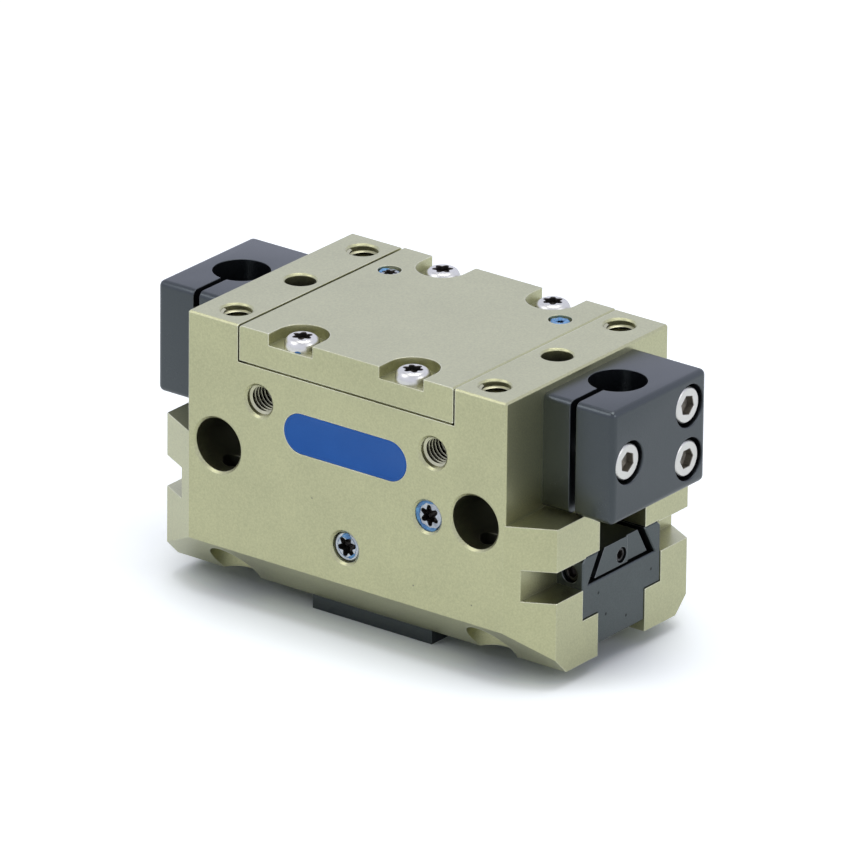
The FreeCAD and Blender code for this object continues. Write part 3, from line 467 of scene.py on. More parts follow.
# Near-black thread crests and ridge ends: painted shade inside the tapped holes.
CREST_SHADE = Finish(
    "thread_crest", (0.075, 0.069, 0.044), (0.028, 0.026, 0.017), metallic=1.0, roughness=0.34,
    mottle=1.5 * MM, grain=0.10 * MM, grain_depth=0.001 * MM, edge_round=0.03 * MM,
    grime=(0.006, 0.0055, 0.004), grime_share=1.0, grime_reach=0.4 * MM,
)

FLANK = Finish(
    "thread_flank", (0.57, 0.555, 0.39), (0.42, 0.41, 0.28), metallic=1.0, roughness=0.30,
    mottle=1.5 * MM, grain=0.10 * MM, grain_depth=0.001 * MM, edge_round=0.03 * MM, grime_share=0.0,
)

SEALANT = Finish(
    "blue_sealant", (0.150, 0.470, 0.800), (0.010, 0.085, 0.310), metallic=0.0, roughness=0.26,
    mottle=0.7 * MM, grain=0.25 * MM, grain_depth=0.02 * MM, grime_share=0.0, coat=0.4,
)

NODE_SLOTS: dict[Slot, tuple[str, ...]] = {
    Slot.OLIVE: ("housing", "cover_plate"),
    Slot.BLACK: ("base_plate",),
    Slot.JAW: ("base_jaw_right", "base_jaw_left", "switch_cam_right", "switch_cam_left", "wedge_hook"),
    Slot.PISTON: ("piston",),
    Slot.ROD: ("piston_rod", "piston_bolt"),
    Slot.BUSH: ("rod_bush",),
    Slot.RUBBER: ("piston_seal", "rod_seal", "cover_seal"),
    Slot.RING: ("piston_guide_ring",),
}


class Bench:
    """Mesh operators that the pieces share."""

    @staticmethod
    def take(piece: bpy.types.Object) -> None:
        """Select one object alone and make it active."""
        bpy.ops.object.select_all(action="DESELECT")
        piece.select_set(True)
        bpy.context.view_layer.objects.active = piece

    @staticmethod
    @contextmanager
    def edit(piece: bpy.types.Object) -> Iterator[None]:
        """Hold an object in edit mode with everything on it selected."""
        Bench.take(piece)
        bpy.ops.object.mode_set(mode="EDIT")
        bpy.ops.mesh.select_all(action="SELECT")
        try:
            yield
        finally:
            bpy.ops.object.mode_set(mode="OBJECT")

    @staticmethod
    def close_up() -> None:
        """Merge doubles and turn all faces outwards, in edit mode."""
        bpy.ops.mesh.select_all(action="SELECT")
        bpy.ops.mesh.remove_doubles(threshold=MERGE_GAP)
        bpy.ops.mesh.normals_make_consistent(inside=False)

    @staticmethod
    def start(name: str, add: Callable[..., set[str]], **options: float | str | Spot) -> bpy.types.Object:
        """Add an object by an operator with its settings, and name it."""
        bpy.ops.object.select_all(action="DESELECT")
        add(**options)
        piece = bpy.context.object
        piece.name = name
        return piece

    @staticmethod
    def turned(name: str, profile: Sequence[Point], steps: int = 64) -> bpy.types.Object:
        """Spin a profile of radius and height, from axis to axis, about Z as on a lathe."""
        piece = Bench.start(name, bpy.ops.mesh.primitive_plane_add, size=MM)
        with Bench.edit(piece):
            bpy.ops.mesh.merge(type="CENTER")
            bpy.ops.transform.translate(value=(profile[0][0], 0.0, profile[0][1]))
            for (radius, height), (wider, higher) in zip(profile, profile[1:]):
                move = {"value": (wider - radius, 0.0, higher - height)}
                bpy.ops.mesh.extrude_vertices_move(TRANSFORM_OT_translate=move)
            bpy.ops.mesh.select_all(action="SELECT")
            bpy.ops.mesh.spin(steps=steps, angle=FULL_TURN, center=(0, 0, 0), axis=(0, 0, 1))
            Bench.close_up()
        return piece

    @staticmethod
    def block(name: str, low: Vector, high: Vector) -> bpy.types.Object:
        """Start a piece as a block between its lowest and its highest corner."""
        piece = Bench.start(name, bpy.ops.mesh.primitive_cube_add, size=MM)
        for vertex in piece.data.vertices:
            vertex.co = [high[axis] if vertex.co[axis] > 0 else low[axis] for axis in range(3)]
        return piece

    @staticmethod
    def round_edges(
        piece: bpy.types.Object, keep: Callable[[Vector], bool], radius: float, segments: int
    ) -> None:
        """Round the edges of a piece, apart from some.

        Args:
            piece: Piece to round.
            keep: True for the middle of an edge that stays sharp.
            radius: Width of the rounding.
            segments: Number of facets across it.
        """
        with Bench.edit(piece):
            bpy.ops.mesh.select_mode(type="EDGE")
            bpy.ops.mesh.select_all(action="DESELECT")
        points = piece.data.vertices
        for edge in piece.data.edges:
            first, second = edge.vertices
            edge.select = not keep((points[first].co + points[second].co) / 2)
        bpy.ops.object.mode_set(mode="EDIT")
        bpy.ops.mesh.bevel(offset=radius, segments=segments, affect="EDGES")
        bpy.ops.mesh.select_mode(type="VERT")
        Bench.close_up()
        bpy.ops.object.mode_set(mode="OBJECT")

    @staticmethod
    def cutter(
        name: str, count: int, radius: Callable[[float], float], levels: Sequence[Point]
    ) -> bpy.types.Object:
        """Raise a closed prism on an outline given by its radius at each angle.

        Args:
            name: Name of the cutter.
            count: Number of points on the outline.
            radius: Radius of the outline at an angle.
            levels: Height and scale of each section, from the top down.

        Returns:
            The cutter.
        """
        circle = bpy.ops.mesh.primitive_circle_add
        piece = Bench.start(name, circle, vertices=count, radius=MM, fill_type="NGON")
        top, scale = levels[0]
        for vertex in piece.data.vertices:
            angle = math.atan2(vertex.co.y, vertex.co.x)
            reach = radius(angle) * scale
            vertex.co = (reach * math.cos(angle), reach * math.sin(angle), top)
        with Bench.edit(piece):
            for (height, wide), (lower, narrow) in zip(levels, levels[1:]):
                bpy.ops.mesh.extrude_region_move(TRANSFORM_OT_translate={"value": (0, 0, lower - height)})
                ratio = narrow / wide
                bpy.ops.transform.resize(value=(ratio, ratio, 1.0), center_override=(0, 0, lower))
            Bench.close_up()
        return piece

    @staticmethod
    def carve(piece: bpy.types.Object, cutter: bpy.types.Object) -> None:
        """Cut one piece with another closed one, which is then removed."""
        Bench.take(piece)
        modifier = piece.modifiers.new("cut", "BOOLEAN")
        modifier.operation = "DIFFERENCE"
        modifier.solver = "EXACT"
        modifier.material_mode = "TRANSFER"
        modifier.object = cutter
        bpy.ops.object.modifier_apply(modifier=modifier.name)
        Bench.discard(cutter)

    @staticmethod
    def settle(piece: bpy.types.Object, spot: Matrix) -> None:
        """Bring a piece to its place and heading, and put them into its mesh."""
        piece.matrix_world = spot
        Bench.take(piece)
        bpy.ops.object.transform_apply(location=True, rotation=True, scale=True)
        bpy.ops.object.shade_smooth_by_angle(angle=SMOOTH_ANGLE)

    @staticmethod
    def copy(piece: bpy.types.Object, name: str) -> bpy.types.Object:
        """Copy a piece together with its mesh."""
        Bench.take(piece)
        bpy.ops.object.duplicate(linked=False)
        twin = bpy.context.object
        twin.name = name
        return twin

    @staticmethod
    def discard(*pieces: bpy.types.Object) -> None:
        """Remove pieces that only served to make others."""
        for piece in pieces:
            bpy.data.objects.remove(piece, do_unlink=True)


def heading(spot: Vector, direction: Vector, roll: float = 0.0) -> Matrix:
    """Give the place of a piece whose own Z axis points along a direction, rolled about it."""
    turn = direction.to_track_quat("Z", "Y").to_matrix().to_4x4()
    return Matrix.Translation(spot) @ turn @ Matrix.Rotation(roll, 4, "Z")


def box(node: str) -> tuple[Vector, Vector]:
    """Give the lowest and highest corner of a node."""
    low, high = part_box(node)
    return Vector(low), Vector(high)


def shank(radius: float, length: float, chamfer: float, top: float = 0.0) -> list[Point]:
    """Give the section of a screw's shank, from its chamfered tip below zero height to its top."""
    return [(0.0, -length), (radius - chamfer, -length), (radius, chamfer - length), (radius, top)]


def stud(radius: float, length: float, chamfer: float) -> list[Point]:
    """Give the section of a headless screw, from its flat tip to its chamfered end at zero height."""
    return [(0.0, -length), (radius, -length), (radius, -chamfer), (radius - chamfer, 0.0), (0.0, 0.0)]


@dataclass
class Rack:
    """Materials of all finishes, and what wears them."""

    made: dict[Slot, bpy.types.Material] = field(default_factory=dict)
    extra: dict[str, bpy.types.Material] = field(default_factory=dict)

    def fill(self) -> None:
        """Make every material."""
        self.made = {slot: finish.build() for slot, finish in FINISHES.items()}
        self.extra = {finish.name: finish.build() for finish in (RECESS_SHADE, SOCKET_SHADE, FLANK, CREST_SHADE, SEALANT)}

    def dress_nodes(self, nodes: dict[str, bpy.types.Object]) -> None:
        """Put the finishes on the solid pieces of the frame, which come by node name."""
        for slot, names in NODE_SLOTS.items():
            for name in names:
                piece = nodes[name]
                if not piece.material_slots:
                    piece.data.materials.append(self.made[slot])
                for holder in piece.material_slots:
                    holder.material = self.made[slot]
                LOG.info("dressed %s in %s", name, slot.value)

    def finish(self, piece: bpy.types.Object, slot: Slot, body: Body, *nodes: str) -> None:
        """Dress a piece in its slot's finish unless it has one, put it on its body, and hide the nodes it
        replaces.
        """
        if not piece.data.materials:
            piece.data.materials.append(self.made[slot])
        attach(piece, body.value)
        if nodes:
            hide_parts(*nodes)
        LOG.info("made %s, %d faces, on %s", piece.name, len(piece.data.polygons), body.value)

    def set_copy(
        self, first: bpy.types.Object, name: str, spot: Matrix, slot: Slot, body: Body, *nodes: str
    ) -> None:
        """Set a copy of a piece at a place and heading, and finish it."""
        piece = Bench.copy(first, name)
        Bench.settle(piece, spot)
        self.finish(piece, slot, body, *nodes)


@dataclass(frozen=True)
class Recess:
    """Drive recess of a screw, six-lobed or hexagonal."""

    reach: float
    depth: float
    lobe_swing: float = 0.0
    lobe_points: int = 10
    mouth_flare: float = 1.10
    mouth_depth: float = 0.10 * MM
    bottom_cone: float = 0.35
    tip_share: float = 0.15
    lobe_power: float = 1.4
    clearance: float = 0.30 * MM

    def cut(
        self, piece: bpy.types.Object, top: float, rack: Rack, slot: Slot, inside: Finish = RECESS_SHADE
    ) -> None:
        """Sink the recess into the top of a screw that points along Z, and dress both."""
        piece.data.materials.append(rack.made[slot])
        levels = [
            (top + self.clearance, self.mouth_flare),
            (top, self.mouth_flare),
            (top - self.mouth_depth, 1.0),
            (top - self.depth, 1.0),
            (top - self.depth - self.bottom_cone * self.reach, self.tip_share),
        ]
        count = DRIVE_SIDES * (self.lobe_points if self.lobe_swing else 1)
        tool = Bench.cutter("recess_tool", count, self.outline, levels)
        # The cut walls take the inside finish, darkened as painted shade.
        tool.data.materials.append(rack.extra[inside.name])
        Bench.carve(piece, tool)

    def outline(self, angle: float) -> float:
        """Give the radius of the recess at an angle."""
        if not self.lobe_swing:
            return self.reach
        wave = (1.0 - math.cos(DRIVE_SIDES * angle)) / 2
        return self.reach - self.lobe_swing * wave ** self.lobe_power


@dataclass(frozen=True)
class Smear:
    """Ring or streak of blue sealant round the axis of a screw.

    Each arc gives the angle of its middle, its half width and its share of the full thickness.
    """

    inner: float
    outer: float
    height: float
    arcs: tuple[tuple[float, float, float], ...]
    thinnest: float = 0.03
    narrowest: float = 0.25
    pinch: float = 0.3
    fade_power: int = 3
    ripple: float = 0.14
    ripple_count: float = 7.0
    ripple_shift: float = 2.0
    around: int = 96
    across: int = 12

    def amount(self, angle: float) -> float:
        """Give the share of the full thickness at an angle."""
        share = self.thinnest
        for middle, half, full in self.arcs:
            gap = abs(math.remainder(angle - middle, FULL_TURN)) / half
            fade = max(0.0, 1.0 - gap ** self.fade_power)
            wave = math.sin(self.ripple_count * angle + self.ripple_shift * middle)
            share = max(share, full * fade * (1.0 - self.ripple + self.ripple * wave))
        return share

    def build(self, name: str, spot: Matrix, rack: Rack) -> None:
        """Lay the smear at a place, with its own Z axis along the screw."""
        track = (self.inner + self.outer) / 2
        half = (self.outer - self.inner) / 2
        film = Bench.start(
            name, bpy.ops.mesh.primitive_torus_add,
            major_segments=self.around, minor_segments=self.across, major_radius=track, minor_radius=half,
        )
        for vertex in film.data.vertices:
            angle = math.atan2(vertex.co.y, vertex.co.x)
            share = self.amount(angle)
            off = math.hypot(vertex.co.x, vertex.co.y) - track
            width = self.narrowest + (1.0 - self.narrowest) * share
            reach = track + off * width * share ** self.pinch
            level = vertex.co.z / half * self.height * share
            vertex.co = (reach * math.cos(angle), reach * math.sin(angle), level)
        Bench.settle(film, spot)
        film.data.materials.append(rack.extra[SEALANT.name])
        rack.finish(film, Slot.PLUG, Body.GRIPPER)


@dataclass
class CoverScrews:
    """Four button-head screws with six-lobed recesses that hold the cover."""

    rack: Rack
    node: str = "cover_screws"
    head_radius: float = 2.85 * MM
    head_height: float = 1.95 * MM
    dome_height: float = 1.80 * MM
    rim_height: float = 0.25 * MM
    top_radius: float = 1.78 * MM
    shank_radius: float = 1.5 * MM
    tip_chamfer: float = 0.4 * MM
    dome_points: int = 10
    recess: Recess = Recess(reach=1.52 * MM, depth=0.85 * MM, lobe_swing=0.46 * MM)
    rolls: tuple[float, ...] = (0.3, 1.0, 0.1, 0.7)
    dab: Smear = Smear(inner=2.55 * MM, outer=2.95 * MM, height=0.34 * MM, arcs=((-1.15, 0.24, 1.0),))

    def profile(self, length: float) -> list[Point]:
        """Give the section of a screw, with its head seat at zero height and its shank below."""
        rise = self.dome_height - self.rim_height
        swell = self.head_radius - self.top_radius
        quarter = [0.5 * math.pi * index / self.dome_points for index in range(self.dome_points + 1)]
        return [
            *shank(self.shank_radius, length, self.tip_chamfer), (self.head_radius, 0.0),
            *((self.top_radius + swell * math.cos(angle), self.rim_height + rise * math.sin(angle))
              for angle in quarter),
            (0.0, self.dome_height),
        ]

    def build(self) -> None:
        """Turn one screw, cut its recess and set four copies in the cover."""
        low, high = box(self.node)
        length = high.z - low.z - self.head_height
        first = Bench.turned("cover_screw", self.profile(length))
        self.recess.cut(first, self.dome_height, self.rack, Slot.BRIGHT)
        spots = [
            ("front_right", high.x - self.head_radius, low.y + self.head_radius),
            ("front_left", low.x + self.head_radius, low.y + self.head_radius),
            ("back_right", high.x - self.head_radius, high.y - self.head_radius),
            ("back_left", low.x + self.head_radius, high.y - self.head_radius),
        ]
        seat = high.z - self.head_height
        for (name, across, along), roll in zip(spots, self.rolls):
            spot = heading(Vector((across, along, seat)), Vector((0, 0, 1)), roll)
            self.rack.set_copy(first, f"cover_screw_{name}", spot, Slot.BRIGHT, Body.GRIPPER, self.node)
        Bench.discard(first)
        name, across, along = spots[1]
        spot = Matrix.Translation(Vector((across, along, seat)))
        self.dab.build(f"cover_screw_{name}_sealant", spot, self.rack)


@dataclass
class Brackets:
    """Clamp brackets for round sensors, with bore, slit and screw wells.

    They reach further back than the solids by the back wall, which closes the wells at that side.
    """

    rack: Rack
    back_wall: float = 1.2 * MM
    edge_radius: float = 1.0 * MM
    edge_segments: int = 5
    edge_touch: float = 0.25 * MM
    bore_radius: float = 4.65 * MM
    bore_inset: float = 5.75 * MM
    bore_facets: int = 96
    slit_width: float = 1.2 * MM
    well_radius: float = 3.5 * MM
    well_depth: float = 3.4 * MM
    well_edge: float = 0.12 * MM
    well_facets: int = 72
    spare: float = 1.0 * MM

    def build(self) -> None:
        """Model the right bracket, and turn a copy of it about to the left end."""
        low, high = box(f"sensor_bracket_{Side.RIGHT.label}")
        high.y += self.back_wall
        bracket = Bench.block("bracket", low, high)
        bracket.data.materials.append(self.rack.made[Slot.BLACK])
        Bench.round_edges(
            bracket, lambda middle: abs(middle.x - low.x) < self.edge_touch,
            self.edge_radius, self.edge_segments,
        )
        self.open_bore(bracket, low, high)
        self.sink_wells(bracket, high.x)
        turn = Matrix.Translation(Vector((0, 0, low.z + high.z))) @ Matrix.Rotation(math.pi, 4, "Y")
        for side, spot in ((Side.RIGHT, Matrix.Identity(4)), (Side.LEFT, turn)):
            node = f"sensor_bracket_{side.label}"
            self.rack.set_copy(bracket, f"{node}_clamp", spot, Slot.BLACK, Body.GRIPPER, node)
        Bench.discard(bracket)

    def open_bore(self, bracket: bpy.types.Object, low: Vector, high: Vector) -> None:
        """Drill the sensor bore and saw the slit that opens it to the front."""
        middle = low.x + self.bore_inset
        levels = [(high.z + self.spare, 1.0), (low.z - self.spare, 1.0)]
        drill = Bench.cutter("bore_drill", self.bore_facets, lambda _: self.bore_radius, levels)
        Bench.settle(drill, Matrix.Translation(Vector((middle, 0, 0))))
        saw = Bench.block(
            "slit_saw",
            Vector((middle - self.slit_width / 2, low.y - self.spare, low.z - self.spare)),
            Vector((middle + self.slit_width / 2, 0.0, high.z + self.spare)),
        )
        for tool in (drill, saw):
            tool.data.materials.append(self.rack.made[Slot.BLACK])
            Bench.carve(bracket, tool)

    def sink_wells(self, bracket: bpy.types.Object, face: float) -> None:
        """Sink the wells of the three screw heads into the outer face, whose X is given."""
        low, high = box(f"bracket_screws_{Side.RIGHT.label}")
        inset = (high.y - low.y) / 2
        back = low.y + inset
        clamp_low, clamp_high = box(f"clamp_screw_{Side.RIGHT.label}")
        clamp = (clamp_low + clamp_high) / 2
        wide = 1.0 + self.well_edge / self.well_radius
        levels = [(self.spare, wide), (0.0, wide), (-self.well_edge, 1.0), (-self.well_depth, 1.0)]
        for along, height in ((back, high.z - inset), (back, low.z + inset), (clamp.y, clamp.z)):
            tool = Bench.cutter("well_tool", self.well_facets, lambda _: self.well_radius, levels)
            Bench.settle(tool, heading(Vector((face, along, height)), Vector((1, 0, 0))))
            tool.data.materials.append(self.rack.made[Slot.BLACK])
            Bench.carve(bracket, tool)


@dataclass
class CapScrews:
    """Socket-head screws of the sensor brackets."""

    rack: Rack
    head_radius: float = 2.95 * MM
    head_height: float = 3.0 * MM
    head_chamfer: float = 0.22 * MM
    shank_radius: float = 1.5 * MM
    tip_chamfer: float = 0.5 * MM
    socket: Recess = Recess(reach=1.66 * MM, depth=1.3 * MM, mouth_flare=1.05, bottom_cone=0.25)
    rolls: dict[str, float] = field(
        default_factory=lambda: {"upper": 0.25, "lower": 0.52, "middle": 0.10}
    )

    def screw(self, length: float) -> bpy.types.Object:
        """Make one screw along Z, with its head seat at zero height and its shank below."""
        piece = Bench.turned("cap_screw", [
            *shank(self.shank_radius, length, self.tip_chamfer),
            (self.head_radius, 0.0), (self.head_radius, self.head_height - self.head_chamfer),
            (self.head_radius - self.head_chamfer, self.head_height), (0.0, self.head_height),
        ])
        self.socket.cut(piece, self.head_height, self.rack, Slot.BRIGHT, SOCKET_SHADE)
        return piece

    def build(self) -> None:
        """Make a mounting screw and a clamp screw, and set copies of both in each bracket."""
        for node, places in (("bracket_screws", ("upper", "lower")), ("clamp_screw", ("middle",))):
            low, high = box(f"{node}_{Side.RIGHT.label}")
            first = self.screw(high.x - low.x - self.head_height)
            for side in Side:
                for place in places:
                    name = f"{node}_{side.label}"
                    spot = self.spot(name, place, side)
                    self.rack.set_copy(first, f"{name}_{place}", spot, Slot.BRIGHT, Body.GRIPPER, name)
            Bench.discard(first)

    def spot(self, node: str, place: str, side: Side) -> Matrix:
        """Give the place and heading of a screw's head seat in its bracket."""
        low, high = box(node)
        face = high.x if side is Side.RIGHT else low.x
        inset = (high.y - low.y) / 2
        height = {"upper": high.z - inset, "lower": low.z + inset, "middle": (low.z + high.z) / 2}
        seat = Vector((face - side.value * self.head_height, (low.y + high.y) / 2, height[place]))
        return heading(seat, Vector((side.value, 0, 0)), self.rolls[place])


@dataclass
class SetScrews:
    """Small headless screws of the cams, with hexagon sockets."""

    rack: Rack
    end_radius: float = 1.25 * MM
    side_radius: float = 1.5 * MM
    side_length: float = 3.2 * MM
    point_radius: float = 0.4 * MM
    chamfer: float = 0.22 * MM
    facets: int = 48
    end_roll: float = 0.2
    side_roll: float = 0.4
    end_socket: Recess = Recess(reach=0.75 * MM, depth=1.1 * MM)
    side_socket: Recess = Recess(reach=0.87 * MM, depth=1.0 * MM, bottom_cone=0.2)

    def end_screw(self) -> bpy.types.Object:
        """Make the flat-ended screw of a cam's end face."""
        low, high = box(f"cam_screw_{Side.RIGHT.label}")
        section = stud(self.end_radius, high.x - low.x, self.chamfer)
        screw = Bench.turned("cam_screw", section, self.facets)
        self.end_socket.cut(screw, 0.0, self.rack, Slot.DARK)
        return screw

    def side_screw(self) -> bpy.types.Object:
        """Make the pointed screw that clamps a cam from one side."""
        taper = self.side_radius - self.point_radius
        screw = Bench.turned("side_screw", [
            (0.0, -self.side_length), (self.point_radius, -self.side_length),
            (self.side_radius, taper - self.side_length), (self.side_radius, -self.chamfer),
            (self.side_radius - self.chamfer, 0.0), (0.0, 0.0),
        ], self.facets)
        self.side_socket.cut(screw, 0.0, self.rack, Slot.DARK)
        return screw

    def build(self) -> None:
        """Make one screw of each kind and set copies of both at each end."""
        end = self.end_screw()
        pointed = self.side_screw()
        for side in Side:
            jaw = Body.of_jaw(side)
            node = f"cam_screw_{side.label}"
            low, high = box(node)
            middle = (low + high) / 2
            mouth = Vector((high.x if side is Side.RIGHT else low.x, middle.y, middle.z))
            spot = heading(mouth, Vector((side.value, 0, 0)), self.end_roll)
            self.rack.set_copy(end, f"{node}_socket", spot, Slot.DARK, jaw, node)
            node = f"side_screws_{side.label}"
            low, high = box(node)
            height = (low.z + high.z) / 2
            for name, across, along, way in (
                ("front", high.x - self.side_radius, low.y, -1),
                ("back", low.x + self.side_radius, high.y, 1),
            ):
                spot = heading(Vector((across, along, height)), Vector((0, way, 0)), self.side_roll)
                self.rack.set_copy(pointed, f"{node}_{name}", spot, Slot.DARK, jaw, node)
        Bench.discard(end, pointed)


@dataclass
class Plugs:
    """Screwed plugs with six-lobed recesses, set in blue sealant."""

    rack: Rack
    chamfer: float = 0.30 * MM
    front_recess: Recess = Recess(reach=1.70 * MM, depth=1.7 * MM, lobe_swing=0.64 * MM, mouth_flare=1.05)
    cover_recess: Recess = Recess(reach=1.15 * MM, depth=1.3 * MM, lobe_swing=0.46 * MM)
    front_rolls: dict[str, float] = field(
        default_factory=lambda: {"purge_plug": 0.25, "channel_plug": 0.6}
    )
    cover_roll: float = 0.4
    smears: dict[str, Smear] = field(default_factory=lambda: {
        "purge_plug": Smear(
            inner=1.25 * MM, outer=2.30 * MM, height=0.16 * MM,
            arcs=((1.62, 0.55, 1.0), (-0.95, 0.5, 0.5)),
        ),
        "channel_plug": Smear(
            inner=1.80 * MM, outer=2.80 * MM, height=0.26 * MM,
            arcs=((2.9, 1.25, 1.0), (-1.7, 0.8, 0.9), (1.7, 0.5, 0.7)),
        ),
        "cover_plug_right": Smear(
            inner=0.35 * MM, outer=1.80 * MM, height=0.22 * MM,
            arcs=((2.4, 1.9, 1.0), (0.1, 1.5, 0.9), (-1.6, 1.3, 0.95)),
        ),
        "cover_plug_left": Smear(
            inner=1.05 * MM, outer=1.85 * MM, height=0.18 * MM,
            arcs=((3.1, 0.95, 1.0),),
        ),
    })

    def build(self) -> None:
        """Set the two front plugs and the two cover plugs."""
        low, high = box("purge_plug")
        front = self.plug((high.x - low.x) / 2, high.y - low.y, self.front_recess)
        for node, roll in self.front_rolls.items():
            low, high = box(node)
            middle = (low + high) / 2
            spot = heading(Vector((middle.x, low.y, middle.z)), Vector((0, -1, 0)))
            self.set_copy(front, node, node, spot, roll)
        node = "cover_plugs"
        low, high = box(node)
        radius = (high.y - low.y) / 2
        cover = self.plug(radius, high.z - low.z, self.cover_recess)
        for side, across in ((Side.RIGHT, high.x - radius), (Side.LEFT, low.x + radius)):
            spot = Matrix.Translation(Vector((across, (low.y + high.y) / 2, high.z)))
            self.set_copy(cover, f"cover_plug_{side.label}", node, spot, self.cover_roll)
        Bench.discard(front, cover)

    def plug(self, radius: float, length: float, recess: Recess) -> bpy.types.Object:
        """Make one plug along Z, with its outer end at zero height."""
        piece = Bench.turned("plug", stud(radius, length, self.chamfer))
        recess.cut(piece, 0.0, self.rack, Slot.PLUG)
        return piece

    def set_copy(self, first: bpy.types.Object, name: str, node: str, spot: Matrix, roll: float) -> None:
        """Set a copy of a plug in its hole, rolled about its axis, and smear sealant over its edge."""
        turned = spot @ Matrix.Rotation(roll, 4, "Z")
        self.rack.set_copy(first, f"{name}_lobed", turned, Slot.PLUG, Body.GRIPPER, node)
        self.smears[name].build(f"{name}_sealant", spot, self.rack)


@dataclass
class BaseScrews:
    """Four countersunk screws under the base plate."""

    rack: Rack
    node: str = "base_plate_screws"
    head_radius: float = 2.9 * MM
    shank_radius: float = 1.5 * MM
    head_edge: float = 0.15 * MM
    tip_chamfer: float = 0.4 * MM
    roll_per_mm: float = 0.5
    socket: Recess = Recess(reach=1.15 * MM, depth=0.9 * MM, bottom_cone=0.25)

    def build(self) -> None:
        """Turn one screw, cut its socket and set four copies from below."""
        low, high = box(self.node)
        length = high.z - low.z
        cone = self.head_radius - self.shank_radius
        rim = self.head_radius - self.head_edge
        first = Bench.turned("base_plate_screw", [
            *shank(self.shank_radius, length, self.tip_chamfer, -cone - self.head_edge),
            (rim, -self.head_edge), (rim, 0.0), (0.0, 0.0),
        ])
        self.socket.cut(first, 0.0, self.rack, Slot.DARK)
        for side in Side:
            for end, along in (("front", low.y + self.head_radius), ("back", high.y - self.head_radius)):
                across = side.value * (high.x - self.head_radius)
                roll = self.roll_per_mm * across / MM
                spot = heading(Vector((across, along, low.z)), Vector((0, 0, -1)), roll)
                name = f"base_plate_screw_{side.label}_{end}"
                self.rack.set_copy(first, name, spot, Slot.DARK, Body.GRIPPER, self.node)
        Bench.discard(first)


@dataclass
class NamePlate:
    """Bare blue plate in the front face, with a fine raised border."""

    rack: Rack
    node: str = "name_plate"
    arc_points: int = 20
    rim: float = 0.45 * MM
    field_drop: float = 0.06 * MM
    edge_bevel: float = 0.06 * MM
    edge_segments: int = 2

    def build(self) -> None:
        """Draw the round-ended plate, raise it and sink its field."""
        low, high = box(self.node)
        radius = (high.z - low.z) / 2
        straight = (high.x - low.x) / 2 - radius
        plate = Bench.start(
            "name_plate_bare", bpy.ops.mesh.primitive_circle_add,
            vertices=4 * self.arc_points, radius=radius, fill_type="NGON",
        )
        for vertex in plate.data.vertices:
            vertex.co.x += math.copysign(straight, vertex.co.x)
        thickness = high.y - low.y
        with Bench.edit(plate):
            bpy.ops.mesh.extrude_region_move(TRANSFORM_OT_translate={"value": (0, 0, thickness)})
            bpy.ops.mesh.inset(thickness=self.rim)
            bpy.ops.mesh.extrude_region_move(TRANSFORM_OT_translate={"value": (0, 0, -self.field_drop)})
            Bench.close_up()
        bevel = plate.modifiers.new("edge", "BEVEL")
        bevel.width = self.edge_bevel
        bevel.segments = self.edge_segments
        bevel.limit_method = "ANGLE"
        Bench.take(plate)
        bpy.ops.object.modifier_apply(modifier=bevel.name)
        spot = Vector(((low.x + high.x) / 2, high.y, (low.z + high.z) / 2))
        Bench.settle(plate, Matrix.Translation(spot) @ Matrix.Rotation(math.pi / 2, 4, "X"))
        self.rack.finish(plate, Slot.PLATE, Body.GRIPPER, self.node)


